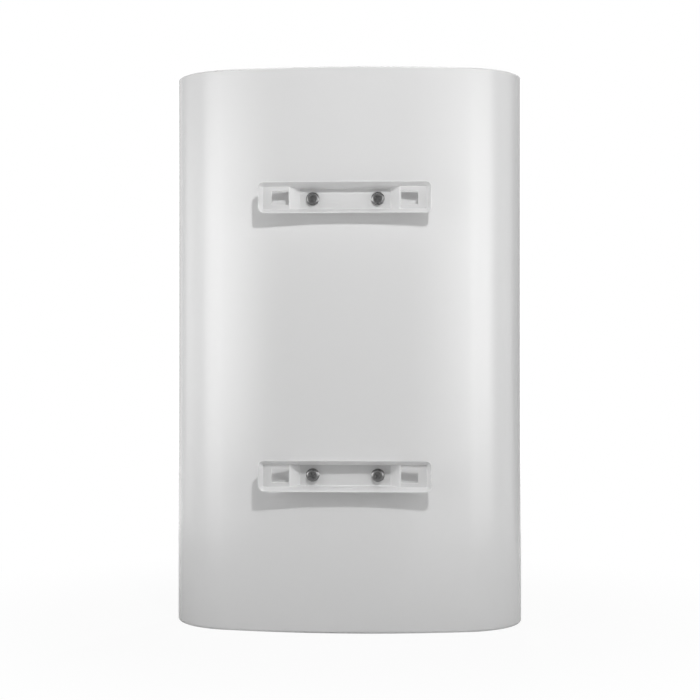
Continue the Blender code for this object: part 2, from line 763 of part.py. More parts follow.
def make_bracket(level, z, parent, surface, envelope):
    """A moulded tray: shallow ends with hook slots, ramps, and a deep middle that lies on the casing."""
    half = BRACKET_LENGTH / 2
    high = BRACKET_HEIGHT / 2
    drop = BRACKET_DEPTH - BRACKET_FLOOR - HOOK_FLOOR_DEPTH
    shift = BRACKET_FLOOR * math.hypot(RAMP_RUN, drop) / drop
    ramp_top = RAMP_FOOT + RAMP_RUN
    end_y = RIM_Y - HOOK_FLOOR_DEPTH - BRACKET_FLOOR
    foot_y = HALF_DEPTH - OVERRUN
    foot_x = RAMP_FOOT + shift - RAMP_RUN * (end_y - foot_y - drop) / drop
    side = [(half, RIM_Y), (half, end_y), (ramp_top + shift, end_y), (foot_x, foot_y)]
    side += [(-x, y) for x, y in reversed(side)]
    bm = bmesh.new()
    face = bm.faces.new([bm.verts.new((x, y, z - high)) for x, y in side])
    made = bmesh.ops.extrude_face_region(bm, geom=[face])
    top = [item for item in made["geom"] if isinstance(item, bmesh.types.BMVert)]
    bmesh.ops.translate(bm, verts=top, vec=(0.0, 0.0, BRACKET_HEIGHT))
    inner_end = ramp_top + shift
    round_edges(
        bm,
        Vector((0.0, 1.0, 0.0)),
        BRACKET_CORNER,
        lambda edge: min(abs(v.co.x) for v in edge.verts) > inner_end,
    )
    bracket = finish(bm, f"{level}_bracket", parent, surface)
    boolean(bracket, envelope)
    taper = math.tan(math.radians(BRACKET_DRAFT_DEG))
    near = RIM_Y + OVERRUN
    grow = OVERRUN * taper
    shrink = HOOK_FLOOR_DEPTH * taper
    inside = (half - BRACKET_RIM, high - BRACKET_RIM)
    shallow = frustum(
        (inside[0] + grow, inside[1] + grow, near, z),
        (inside[0] - shrink, inside[1] - shrink, RIM_Y - HOOK_FLOOR_DEPTH, z),
    )
    round_edges(shallow, Vector((0.0, 1.0, 0.0)), BRACKET_CORNER - BRACKET_RIM)
    boolean(bracket, finish(shallow, f"cut_{level}_shallow", parent))
    depth = BRACKET_DEPTH - BRACKET_FLOOR
    slope = RAMP_RUN / drop
    well = frustum(
        (RAMP_FOOT + slope * depth, inside[1] - FIT_GAP, RIM_Y, z),
        (RAMP_FOOT, inside[1] - FIT_GAP - depth * taper, RIM_Y - depth, z),
    )
    boolean(bracket, finish(well, f"cut_{level}_well", parent))
    for i, sign in enumerate((-1, 1)):
        x = sign * HOOK_X
        slot = box(
            (x - HOOK_WIDTH / 2, end_y - OVERRUN, z - HOOK_HEIGHT / 2),
            (x + HOOK_WIDTH / 2, RIM_Y, z + HOOK_HEIGHT / 2),
        )
        boolean(bracket, finish(slot, f"cut_{level}_slot_{i}", parent))
        hole = rod(BOLT_RADIUS + RUN_GAP, HALF_DEPTH - BRACKET_DEPTH, RIM_Y, BORE_STEPS)
        lay_along_y(hole, sign * BOLT_X, z)
        boolean(bracket, finish(hole, f"cut_{level}_bolt_{i}", parent))


def make_bolts(parent, surface):
    """Flanged hexagon screws with a cross recess, which share one mesh about their own axis."""
    seat = HALF_DEPTH + BRACKET_FLOOR + FIT_GAP
    top = seat + BOLT_HEAD
    profile = [
        (0.0, seat - BOLT_LENGTH),
        (BOLT_RADIUS, seat - BOLT_LENGTH),
        (BOLT_RADIUS, seat),
        (BOLT_FLANGE_RADIUS, seat),
        (BOLT_FLANGE_RADIUS, seat + BOLT_FLANGE / 2),
        (BOLT_HEX / 2, seat + BOLT_FLANGE),
        (0.0, seat + BOLT_FLANGE),
    ]
    first = None
    for level, z in bracket_levels().items():
        for side, sign in (("left", -1), ("right", 1)):
            name = f"{level}_{side}_bolt"
            if first:
                twin(first, name, (sign * BOLT_X, 0.0, z))
                continue
            first = finish(lay_along_y(turned(profile, BORE_STEPS), 0.0, 0.0), name, parent, surface)
            corner = BOLT_HEX / math.sqrt(3)
            chamfer = corner - BOLT_HEX / 2
            head = [(0.0, seat), (corner, seat), (corner, top - chamfer), (corner - chamfer, top), (0.0, top)]
            hexagon = lay_along_y(turned(head, HEX_SIDES), 0.0, 0.0)
            boolean(first, finish(hexagon, "join_bolt_head", parent), "UNION")
            bars = cross(BOLT_RECESS_LENGTH, BOLT_RECESS_WIDTH, top - BOLT_RECESS_DEPTH, top + OVERRUN)
            for i, bar in enumerate(bars):
                boolean(first, finish(lay_along_y(bar, 0.0, 0.0), f"cut_bolt_cross_{i}", parent))
            settle(first)
            first.location = (sign * BOLT_X, 0.0, z)


def tank_profile(grow):
    """Outside of a tank from its socket's edge up over the top, grown by grow."""
    radius = TANK_RADIUS + grow
    socket = SOCKET_RADIUS + grow
    dome = TANK_DOME
    first_turn = math.asin(socket / radius)
    points = [(socket, SOCKET_FOOT)]
    for i in range(DOME_STEPS + 1):
        angle = first_turn + (math.pi / 2 - first_turn) * i / DOME_STEPS
        points.append((radius * math.sin(angle), TANK_BASE - grow + dome * (1 - math.cos(angle))))
    for i in range(DOME_STEPS + 1):
        angle = math.pi / 2 * i / DOME_STEPS
        points.append((radius * math.cos(angle), TANK_HEAD + grow - dome * (1 - math.sin(angle))))
    return points


def make_tank(name, x, parent, surface):
    """An enamelled tank with domed ends and a socket for its element plug."""
    outside = tank_profile(0.0)
    inside = tank_profile(-TANK_WALL)
    bore = PLUG_RADIUS + FIT_GAP
    inside[0] = (bore, SOCKET_FOOT)
    inside[1] = (bore, inside[1][1])
    profile = list(reversed(inside)) + outside
    return finish(turned(profile, TANK_STEPS, (x, 0.0)), name, parent, surface)


def tank_space(name, x, parent):
    """The room that a tank takes in the foam, down past the foam's foot."""
    outside = tank_profile(FIT_GAP)
    outside[0] = (outside[0][0], FOAM_FOOT - OVERRUN)
    return finish(turned([(0.0, FOAM_FOOT - OVERRUN), *outside], TANK_STEPS, (x, 0.0)), name, parent)


def transfer_route():
    """Route of the pipe from high in the cold tank, down between the tanks, to low in the hot one."""
    reach = TANK_X - TANK_RADIUS + TANK_WALL + TRANSFER_ENTRY
    high = TANK_HEAD - TRANSFER_FROM_END
    low = TANK_BASE + TRANSFER_FROM_END
    corners = [
        Vector((reach, 0.0, high)),
        Vector((0.0, 0.0, high)),
        Vector((0.0, 0.0, low)),
        Vector((-reach, 0.0, low)),
    ]
    return corners, bent_route(corners, TRANSFER_BEND)


def make_tanks(parent, enamel, copper):
    """Both tanks, the pipe between them, and the holes for it and for the inlet and outlet."""
    corners, route = transfer_route()
    along = (corners[1] - corners[0]).normalized() * OVERRUN
    bore = [corners[0] - along, *route[1:-1], corners[-1] + along]
    pipe = as_mesh(tube("transfer_pipe", route, TRANSFER_RADIUS, parent, copper))
    pipe.data.materials.clear()
    pipe.data.materials.append(copper)
    boolean(pipe, as_mesh(tube("cut_transfer_bore", bore, TRANSFER_BORE, parent)))
    hole = as_mesh(tube("cut_transfer_way", route, TRANSFER_RADIUS + FIT_GAP, parent))
    tanks = {"cold": 1, "hot": -1}
    spaces = {}
    for name, sign in tanks.items():
        tank = make_tank(f"{name}_tank", sign * TANK_X, parent, enamel)
        boolean(tank, hole)
        port = rod(
            PIPE_RADIUS + FIT_GAP,
            FOAM_FOOT,
            TANK_BASE + TANK_DOME + OVERRUN,
            BORE_STEPS,
            (sign * PIPE_X, PIPE_Y),
        )
        boolean(tank, finish(port, f"cut_{name}_port", parent))
        spaces[name] = tank_space(f"space_{name}_tank", sign * TANK_X, parent)
    return hole, spaces


def make_pipes(parent, steel, blue, red, plastic):
    """The inlet with its diffuser, the outlet that reaches the top of the hot tank, and the marking rings."""
    inlet_head = TANK_BASE + INLET_ABOVE_BASE
    foot = [
        (PIPE_BORE, PIPE_FOOT),
        (PIPE_RADIUS - PIPE_CHAMFER, PIPE_FOOT),
        (PIPE_RADIUS, PIPE_FOOT + PIPE_CHAMFER),
    ]
    cold = foot + [(PIPE_RADIUS, inlet_head), (PIPE_BORE, inlet_head)]
    finish(turned(cold, BORE_STEPS, (PIPE_X, PIPE_Y), True), "cold_inlet_pipe", parent, steel)
    step = TANK_BASE + OUTLET_STEP_UP
    top = TANK_HEAD - OUTLET_TO_TOP
    taper = PIPE_RADIUS - OUTLET_NECK_RADIUS
    hot = foot + [
        (PIPE_RADIUS, step),
        (OUTLET_NECK_RADIUS, step + taper),
        (OUTLET_NECK_RADIUS, top),
        (OUTLET_NECK_BORE, top),
        (OUTLET_NECK_BORE, step),
        (PIPE_BORE, step - taper),
    ]
    finish(turned(hot, BORE_STEPS, (-PIPE_X, PIPE_Y), True), "hot_outlet_pipe", parent, steel)
    under_roof = RECESS_ROOF - FIT_GAP
    ring = [
        (PIPE_RADIUS + FIT_GAP, under_roof - RING_HEIGHT),
        (RING_RADIUS, under_roof - RING_HEIGHT),
        (RING_RADIUS, under_roof),
        (PIPE_RADIUS + FIT_GAP, under_roof),
    ]
    for name, sign, surface in (("cold_ring", 1, blue), ("hot_ring", -1, red)):
        finish(turned(ring, BORE_STEPS, (sign * PIPE_X, PIPE_Y), True), name, parent, surface)
    inner = PIPE_RADIUS + FIT_GAP
    head = inlet_head + FIT_GAP
    wide = inner + DIFFUSER_WALL
    cap = [
        (inner, head - DIFFUSER_HEIGHT / 2),
        (wide, head - DIFFUSER_HEIGHT / 2),
        (wide, head + DIFFUSER_HEIGHT / 2),
        (0.0, head + DIFFUSER_HEIGHT / 2),
        (0.0, head + DIFFUSER_HEIGHT / 2 - DIFFUSER_WALL),
        (PIPE_BORE, head + DIFFUSER_HEIGHT / 2 - DIFFUSER_WALL),
        (PIPE_BORE, head),
        (inner, head),
    ]
    bm = bmesh.new()
    edges = chain(bm, [(r, 0.0, z) for r, z in cap[4:]] + [(r, 0.0, z) for r, z in cap[:4]])
    bmesh.ops.spin(
        bm,
        geom=edges,
        cent=(0.0, 0.0, 0.0),
        axis=(0.0, 0.0, 1.0),
        angle=2 * math.pi,
        steps=BORE_STEPS,
        use_merge=True,
        use_duplicate=False,
    )
    bmesh.ops.translate(bm, verts=bm.verts, vec=(PIPE_X, PIPE_Y, 0.0))
    diffuser = finish(bm, "inlet_diffuser", parent, plastic)
    for i, (a, b) in enumerate(((wide + OVERRUN, DIFFUSER_SLOT / 2), (DIFFUSER_SLOT / 2, wide + OVERRUN))):
        slot = box(
            (PIPE_X - a, PIPE_Y - b, head + FIT_GAP),
            (PIPE_X + a, PIPE_Y + b, head + DIFFUSER_HEIGHT / 2 - DIFFUSER_WALL),
        )
        boolean(diffuser, finish(slot, f"cut_diffuser_{i}", parent))


def make_gland(parent, surface):
    """The bush through which a supply cord would enter."""
    under = RECESS_ROOF - FIT_GAP
    profile = [
        (GLAND_BORE, under - GLAND_FLANGE),
        (GLAND_RADIUS, under - GLAND_FLANGE),
        (GLAND_RADIUS, under),
        (GLAND_NECK, under),
        (GLAND_NECK, under + GLAND_LENGTH - GLAND_FLANGE),
        (GLAND_BORE, under + GLAND_LENGTH - GLAND_FLANGE),
    ]
    finish(turned(profile, BORE_STEPS, (0.0, PIPE_Y), True), "cable_gland", parent, surface)


def hanger_plate_y():
    """Rear face of a hanger's plate, whose ends touch the rear shell."""
    return crown_depth(HANGER_REACH, SHEET + FIT_GAP)


def hanger_blocks(z, grow):
    """Plate and two webs of a hanger frame, grown by grow."""
    high = HANGER_HEIGHT / 2 + grow
    rear = hanger_plate_y() + grow
    front = hanger_plate_y() - HANGER_PLATE - grow
    web_foot = math.sqrt(max(TANK_RADIUS**2 - (TANK_X - HANGER_REACH) ** 2, 0.0)) - HANGER_PLATE / 2
    blocks = [box((-HANGER_REACH - grow, front, z - high), (HANGER_REACH + grow, rear, z + high))]
    for sign in (-1, 1):
        ends = sorted((sign * (HANGER_REACH + grow), sign * (HANGER_REACH - HANGER_PLATE - grow)))
        overlap = front + HANGER_PLATE / 2
        blocks.append(box((ends[0], web_foot, z - high), (ends[1], overlap, z + high)))
    return blocks


def make_hangers(parent, surface, spaces):
    """Steel frames behind the brackets, which take the screws and lie on both tanks."""
    for level, z in bracket_levels().items():
        plate, *webs = hanger_blocks(z, 0.0)
        hanger = finish(plate, f"{level}_hanger_frame", parent, surface)
        for i, web in enumerate(webs):
            boolean(hanger, finish(web, f"join_{level}_web_{i}", parent), "UNION")
        for space in spaces.values():
            boolean(hanger, space)
        for i, sign in enumerate((-1, 1)):
            hole = rod(BOLT_RADIUS + FIT_GAP, HALF_DEPTH - 2 * BRACKET_DEPTH, HALF_DEPTH, BORE_STEPS)
            lay_along_y(hole, sign * BOLT_X, z)
            boolean(hanger, finish(hole, f"cut_{level}_thread_{i}", parent))


def make_foam(parent, surface, spaces, transfer_way):
    """The insulation that fills the casing above the electrical compartment."""
    edge = SHEET + FIT_GAP
    foam = finish(all_round([(edge, FOAM_FOOT), (edge, FOAM_HEAD)]), "foam_insulation", parent, surface)
    for space in spaces.values():
        boolean(foam, space)
    boolean(foam, transfer_way)
    strip = STRIP_INSET + STRIP_WALL + FIT_GAP
    half = STRIP_FLANGE / 2 + FIT_GAP
    for side, sign in (("left", -1), ("right", 1)):
        ends = sorted((sign * (CASE_WIDTH / 2), sign * (CASE_WIDTH / 2 - strip)))
        room = box((ends[0], -half, FOAM_FOOT - OVERRUN), (ends[1], half, FOAM_HEAD + OVERRUN))
        boolean(foam, finish(room, f"cut_foam_strip_{side}", parent))
        way = rod(
            PIPE_RADIUS + FIT_GAP,
            FOAM_FOOT - OVERRUN,
            TANK_BASE + TANK_DOME,
            BORE_STEPS,
            (sign * PIPE_X, PIPE_Y),
        )
        boolean(foam, finish(way, f"cut_foam_pipe_{side}", parent))
    for level, z in bracket_levels().items():
        for i, block in enumerate(hanger_blocks(z, FIT_GAP)):
            boolean(foam, finish(block, f"cut_foam_{level}_hanger_{i}", parent))
        for i, sign in enumerate((-1, 1)):
            tip = HALF_DEPTH + BRACKET_FLOOR - BOLT_LENGTH
            hole = rod(BOLT_RADIUS + FIT_GAP, tip, HALF_DEPTH, BORE_STEPS)
            lay_along_y(hole, sign * BOLT_X, z)
            boolean(foam, finish(hole, f"cut_foam_{level}_bolt_{i}", parent))


def plug_places():
    """Axis of each tank's plug, by name."""
    return {"cold": TANK_X, "hot": -TANK_X}


def element_route(x, grow=0.0):
    """Route of a hairpin element on the plug at x, with its tails lengthened by grow."""
    half = ELEMENT_SPREAD / 2
    foot = PLUG_FOOT - ELEMENT_TAIL - grow
    straight = PLUG_FACE + ELEMENT_HEIGHT - half
    route = [Vector((x - half, 0.0, foot))]
    for i in range(2 * BEND_STEPS + 1):
        angle = math.pi * (1 - i / (2 * BEND_STEPS))
        route.append(Vector((x + half * math.cos(angle), 0.0, straight + half * math.sin(angle))))
    route.append(Vector((x + half, 0.0, foot)))
    return route


def make_plugs(parent, brass, rubber, sheath, magnesium, steel, probe):
    """For each tank: the plug with its gasket, element, anode, thermowell and sensor."""
    seal = PLUG_FACE + FIT_GAP
    thread_top = TANK_BASE
    for name, x in plug_places().items():
        corner = PLUG_HEX / math.sqrt(3)
        head = rod(corner, PLUG_FOOT, PLUG_FACE, HEX_SIDES, (x, 0.0))
        plug = finish(head, f"{name}_element_plug", parent, brass)
        thread = rod(PLUG_RADIUS, PLUG_FACE - PLUG_HEAD / 2, thread_top, TANK_STEPS, (x, 0.0))
        boolean(plug, finish(thread, f"join_{name}_thread", parent), "UNION")
        for i, sign in enumerate((-1, 1)):
            leg = rod(
                ELEMENT_RADIUS + FIT_GAP,
                PLUG_FOOT - OVERRUN,
                thread_top + OVERRUN,
                BORE_STEPS,
                (x + sign * ELEMENT_SPREAD / 2, 0.0),
            )
            boolean(plug, finish(leg, f"cut_{name}_leg_{i}", parent))
        for label, radius, y in (
            ("stud", ANODE_STUD_RADIUS, ANODE_OFFSET),
            ("well", WELL_RADIUS, -WELL_OFFSET),
        ):
            hole = rod(radius + FIT_GAP, PLUG_FOOT - OVERRUN, thread_top + OVERRUN, BORE_STEPS, (x, y))
            boolean(plug, finish(hole, f"cut_{name}_{label}", parent))
        ring = [
            (PLUG_RADIUS + FIT_GAP, seal),
            (SOCKET_RADIUS, seal),
            (SOCKET_RADIUS, seal + GASKET),
            (PLUG_RADIUS + FIT_GAP, seal + GASKET),
        ]
        finish(turned(ring, TANK_STEPS, (x, 0.0), True), f"{name}_plug_gasket", parent, rubber)
        tube(f"{name}_heating_element", element_route(x), ELEMENT_RADIUS, parent, sheath)
        anode = [
            (0.0, PLUG_FOOT),
            (ANODE_STUD_RADIUS, PLUG_FOOT),
            (ANODE_STUD_RADIUS, thread_top + ANODE_START),
            (ANODE_RADIUS, thread_top + ANODE_START),
            (ANODE_RADIUS, thread_top + ANODE_START + ANODE_LENGTH),
            (0.0, thread_top + ANODE_START + ANODE_LENGTH),
        ]
        finish(turned(anode, BORE_STEPS, (x, ANODE_OFFSET)), f"{name}_anode", parent, magnesium)
        top = PLUG_FACE + WELL_HEIGHT
        well = [
            (0.0, top - (WELL_RADIUS - WELL_BORE)),
            (WELL_BORE, top - (WELL_RADIUS - WELL_BORE)),
            (WELL_BORE, PLUG_FOOT - WELL_TAIL),
            (WELL_RADIUS, PLUG_FOOT - WELL_TAIL),
            (WELL_RADIUS, top),
            (0.0, top),
        ]
        finish(turned(well, BORE_STEPS, (x, -WELL_OFFSET)), f"{name}_thermowell", parent, steel)
        sensor = rod(
            SENSOR_RADIUS,
            PLUG_FOOT - SENSOR_TAIL,
            top - (WELL_RADIUS - WELL_BORE) - FIT_GAP,
            TUBE_STEPS,
            (x, -WELL_OFFSET),
        )
        finish(sensor, f"{name}_sensor", parent, probe)


def cutout_top():
    """Upper face of the thermal cut-out's case."""
    return PLUG_FOOT - CUTOUT_DROP


def reset_x():
    """Distance of the reset button from the middle plane, on the hot side."""
    return TANK_X


def make_cutout(parent, joint, case, red):
    """The thermal cut-out on a post under the hot plug, with the reset button in its foot."""
    x = -reset_x()
    top = cutout_top()
    low = top - CUTOUT_HEIGHT
    half = (CUTOUT_LENGTH / 2, CUTOUT_WIDTH / 2)
    cutout = finish(box((x - half[0], -half[1], low), (x + half[0], half[1], top)), "thermal_cutout", parent, case)
    post = rod(CUTOUT_POST, top - CUTOUT_HEIGHT / 2, PLUG_FOOT - FIT_GAP, TUBE_STEPS, (x, 0.0))
    boolean(cutout, finish(post, "join_cutout_post", parent), "UNION")
    stem_top = low + RESET_STEM
    room = rod(RESET_RADIUS + RUN_GAP, low - OVERRUN, stem_top + RESET_TRAVEL + FIT_GAP, BORE_STEPS, (x, 0.0))
    boolean(cutout, finish(room, "cut_reset_room", parent))
    cap_head = low - RESET_TRAVEL - FIT_GAP
    cap_foot = cap_head - RESET_CAP_HEIGHT
    profile = [
        (0.0, cap_foot),
        (RESET_CAP, cap_foot),
        (RESET_CAP, cap_head),
        (RESET_RADIUS, cap_head),
        (RESET_RADIUS, stem_top),
        (0.0, stem_top),
    ]
    joint.location = (x, 0.0, low)
    button = turned(profile, BORE_STEPS, (x, 0.0))
    finish(button, "cutout_reset_button", joint, red, joint.location)


def make_terminal_block(parent, surface):
    """The block on the bottom cover that takes the supply's three cores."""
    foot = COVER_SET_IN + COVER_PLATE + FIT_GAP
    low = (TERMINAL_X - TERMINAL_LENGTH / 2, TERMINAL_Y - TERMINAL_WIDTH / 2, foot)
    high = (TERMINAL_X + TERMINAL_LENGTH / 2, TERMINAL_Y + TERMINAL_WIDTH / 2, foot + TERMINAL_HEIGHT)
    block = finish(box(low, high), "terminal_block", parent, surface)
    for i in (-1, 0, 1):
        bore = rod(
            TERMINAL_BORE,
            high[2] - TERMINAL_BORE_DEPTH,
            high[2] + OVERRUN,
            BORE_STEPS,
            (TERMINAL_X + i * TERMINAL_PITCH, TERMINAL_Y),
        )
        boolean(block, finish(bore, f"cut_terminal_{i}", parent))
    return high[2]


def make_leads(parent, copper, terminal_top):
    """Leads held inside: supply to cut-out, sensor to board, board to terminals, cut-out to elements."""
    gap = LEAD_RADIUS * 2
    side_y = -CUTOUT_WIDTH / 2 - FIT_GAP
    mid_z = cutout_top() - CUTOUT_HEIGHT / 2
    entry = terminal_top - TERMINAL_BORE_DEPTH + FIT_GAP
    start = Vector((TERMINAL_X - TERMINAL_PITCH, TERMINAL_Y, entry))
    lift = Vector((0.0, 0.0, LEAD_LIFT))
    into = Vector((0.0, -gap - LEAD_LIFT, 0.0))
    end = Vector((-reset_x(), side_y, mid_z))
    over = Vector((0.0, TERMINAL_Y, RECESS_ROOF + RECESS_WALL + LEAD_LIFT))
    supply = [start, start + lift + lift, (start + over) / 2 + lift, over, end + into, end]
    tube("supply_lead", smooth_route(supply, 3 * gap), LEAD_RADIUS, parent, copper)
    probe = Vector((-TANK_X, -WELL_OFFSET, PLUG_FOOT - SENSOR_TAIL - FIT_GAP))
    board_back = BOARD_Y + BOARD_THICKNESS + FIT_GAP
    board_spot = Vector((-BOARD_LENGTH / 2 + 2 * gap, board_back, PANEL_Z))
    down = Vector((0.0, 0.0, -2 * gap))
    away = Vector((0.0, LEAD_LIFT, 0.0))
    turn = Vector((-TANK_X, -CUTOUT_WIDTH, cutout_top() + 2 * gap))
    sensor = [probe, probe + down / 2, turn, board_spot + away, board_spot]
    tube("sensor_lead", smooth_route(sensor, 2 * gap), LEAD_RADIUS, parent, copper)
    start = Vector((TERMINAL_X, TERMINAL_Y, entry))
    board_spot = Vector((BOARD_LENGTH / 2 - 2 * gap, board_back, PANEL_Z))
    feed = [start, start + lift + lift, board_spot + away, board_spot]
    tube("board_lead", smooth_route(feed, 2 * gap), LEAD_RADIUS, parent, copper)
    tail = PLUG_FOOT - ELEMENT_TAIL - FIT_GAP
    near = Vector((-reset_x() - ELEMENT_SPREAD / 2, 0.0, tail))
    side = Vector((-reset_x() - CUTOUT_LENGTH / 2 - FIT_GAP, 0.0, mid_z))
    loop = Vector((-2 * gap, 0.0, 0.0))
    past = Vector((0.0, 0.0, CUTOUT_HEIGHT / 2))
    hot = [near, near + down / 2, side + loop + past, side + loop, side]
    tube("hot_element_lead", smooth_route(hot, 2 * gap), LEAD_RADIUS, parent, copper)
    far = Vector((reset_x() - ELEMENT_SPREAD / 2, 0.0, tail))
    side = Vector((-reset_x() + CUTOUT_LENGTH / 2 + FIT_GAP, 0.0, mid_z))
    cold = [far, far + down, (far + side) / 2 - down / 2, side - loop, side]
    tube("cold_element_lead", smooth_route(cold, 3 * gap), LEAD_RADIUS, parent, copper)


def front_y(x, inset=0.0):
    """Y of the front crown at x, set in by inset."""
    return -crown_depth(x, inset)


def make_bezel(parent, surface):
    """The control panel's moulding: a lip on the shell, a box through its window, posts for the board."""
    low = PANEL_Z - PANEL_HEIGHT / 2
    high = PANEL_Z + PANEL_HEIGHT / 2
    lip = crown_block(
        0.0,
        PANEL_LENGTH + 2 * BEZEL_LIP,
        low - BEZEL_LIP,
        high + BEZEL_LIP,
        -BEZEL_PROUD,
        -FIT_GAP,
        PANEL_CORNER + BEZEL_LIP,
    )
    bezel = finish(lip, "control_bezel", parent, surface)
    trim = FIT_GAP
    body = crown_block(
        0.0,
        PANEL_LENGTH - 2 * trim,
        low + trim,
        high - trim,
        -BEZEL_PROUD / 2,
        BEZEL_REACH,
        PANEL_CORNER - trim,
    )
    boolean(bezel, finish(body, "join_bezel_body", parent), "UNION")
    wall = trim + BEZEL_SIDE
    hollow = crown_block(
        0.0,
        PANEL_LENGTH - 2 * wall,
        low + wall,
        high - wall,
        BEZEL_WALL - BEZEL_PROUD,
        BEZEL_REACH + OVERRUN,
        PANEL_CORNER - wall,
    )
    boolean(bezel, finish(hollow, "cut_bezel_hollow", parent))
    for i, x in enumerate((-POST_X, POST_X)):
        for j, z in enumerate((PANEL_Z - POST_Z_OFFSET, PANEL_Z + POST_Z_OFFSET)):
            post = rod(POST_RADIUS, front_y(x), BOARD_Y - FIT_GAP, TUBE_STEPS)
            lay_along_y(post, x, z)
            boolean(bezel, finish(post, f"join_post_{i}{j}", parent), "UNION")
    pocket = display_block(0.0, -BEZEL_PROUD - OVERRUN, -BEZEL_PROUD + DISPLAY_THICKNESS)
    boolean(bezel, finish(pocket, "cut_display_pocket", parent))
    view = display_block(-DISPLAY_LEDGE, -BEZEL_PROUD - OVERRUN, BEZEL_WALL)
    boolean(bezel, finish(view, "cut_display_view", parent))
    holes = {
        "shaft": (SHAFT_RADIUS + RUN_GAP, 0.0, PANEL_Z),
        "power": (BUTTON_RADIUS + RUN_GAP, POWER_X, PANEL_Z),
        "mode": (BUTTON_RADIUS + RUN_GAP, MODE_X, PANEL_Z),
        "lens": (LENS_RADIUS + FIT_GAP, LENS_X, PANEL_Z + LENS_Z_OFFSET),
    }
    for name, (radius, x, z) in holes.items():
        hole = rod(radius, -HALF_DEPTH - OVERRUN - BEZEL_PROUD, -HALF_DEPTH + BEZEL_REACH, BORE_STEPS)
        lay_along_y(hole, x, z)
        boolean(bezel, finish(hole, f"cut_{name}_hole", parent))


def display_block(grow, outer, inner):
    """The display window's outline, grown by grow, between two insets."""
    return crown_block(
        DISPLAY_X,
        DISPLAY_LENGTH + 2 * grow,
        PANEL_Z - DISPLAY_HEIGHT / 2 - grow,
        PANEL_Z + DISPLAY_HEIGHT / 2 + grow,
        outer,
        inner,
        DISPLAY_CORNER + min(grow, 0.0) / 2,
    )


def make_display(parent, glass, dark):
    """The window in the bezel and the module behind it, on the board."""
    outer = -BEZEL_PROUD - DISPLAY_PROUD
    inner = DISPLAY_THICKNESS - BEZEL_PROUD - FIT_GAP
    finish(display_block(-FIT_GAP, outer, inner), "display_window", parent, glass)
    half = DISPLAY_LENGTH / 2 - DISPLAY_LEDGE
    high = DISPLAY_HEIGHT / 2 - DISPLAY_LEDGE
    rear = BOARD_Y - FIT_GAP
    low_corner = (DISPLAY_X - half, rear - MODULE_THICKNESS, PANEL_Z - high)
    high_corner = (DISPLAY_X + half, rear, PANEL_Z + high)
    finish(box(low_corner, high_corner), "display_module", parent, dark)


def make_board(parent, green, dark):
    """The control board with the selector and the two switches on its front."""
    low = (-BOARD_LENGTH / 2, BOARD_Y, PANEL_Z - BOARD_HEIGHT / 2)
    high = (BOARD_LENGTH / 2, BOARD_Y + BOARD_THICKNESS, PANEL_Z + BOARD_HEIGHT / 2)
    finish(box(low, high), "control_board", parent, green)
    seat = BOARD_Y - FIT_GAP
    half = SELECTOR_SIZE / 2
    body = box((-half, seat - SELECTOR_HEIGHT, PANEL_Z - half), (half, seat, PANEL_Z + half))
    selector = finish(body, "knob_selector", parent, dark)
    bore = rod(SHAFT_RADIUS + RUN_GAP, seat - SELECTOR_HEIGHT - OVERRUN, seat - SELECTOR_HEIGHT / 2, BORE_STEPS)
    lay_along_y(bore, 0.0, PANEL_Z)
    boolean(selector, finish(bore, "cut_selector_bore", parent))
    half = SWITCH_SIZE / 2
    for name, x in (("power_switch", POWER_X), ("mode_switch", MODE_X)):
        body = box((x - half, seat - SWITCH_HEIGHT, PANEL_Z - half), (x + half, seat, PANEL_Z + half))
        finish(body, name, parent, dark)


def make_knob(joint, surface, steel):
    """The temperature knob, hollow behind, and its shaft down to the selector."""
    face = -HALF_DEPTH - KNOB_STAND
    foot = -HALF_DEPTH - BEZEL_PROUD - RUN_GAP
    shaft_top = face + 2 * KNOB_WALL
    profile = [
        (0.0, shaft_top),
        (SHAFT_RADIUS + FIT_GAP, shaft_top),
        (SHAFT_RADIUS + FIT_GAP, foot),
        (KNOB_HUB_RADIUS, foot),
        (KNOB_HUB_RADIUS, face + KNOB_WALL + KNOB_ROUND),
        (KNOB_FACE_RADIUS - KNOB_WALL, face + KNOB_WALL + KNOB_ROUND),
        (KNOB_RADIUS - KNOB_WALL, foot),
        (KNOB_RADIUS, foot),
        (KNOB_FACE_RADIUS + KNOB_ROUND / 2, face + KNOB_ROUND),
    ]
    for i in range(ROUND_STEPS + 1):
        angle = math.pi / 2 * i / ROUND_STEPS
        radius = KNOB_FACE_RADIUS - KNOB_ROUND / 2 + KNOB_ROUND * math.cos(angle)
        profile.append((radius, face + KNOB_ROUND * (1 - math.sin(angle))))
    profile.append((0.0, face))
    joint.location = (0.0, -HALF_DEPTH, PANEL_Z)
    knob = finish(
        lay_along_y(turned(profile, KNOB_STEPS), 0.0, PANEL_Z),
        "temperature_knob",
        joint,
        surface,
        joint.location,
    )
    edge = PANEL_Z + KNOB_FACE_RADIUS - KNOB_ROUND
    mark = box(
        (-KNOB_MARK_WIDTH / 2, face - OVERRUN, edge - KNOB_MARK_LENGTH),
        (KNOB_MARK_WIDTH / 2, face + KNOB_MARK_DEPTH, edge),
    )
    boolean(knob, finish(mark, "cut_knob_mark", joint, None, joint.location))
    tip = BOARD_Y - FIT_GAP - SELECTOR_HEIGHT / 2 - FIT_GAP
    shaft = rod(SHAFT_RADIUS, shaft_top + FIT_GAP, tip, BORE_STEPS)
    finish(lay_along_y(shaft, 0.0, PANEL_Z), "knob_shaft", joint, steel, joint.location)


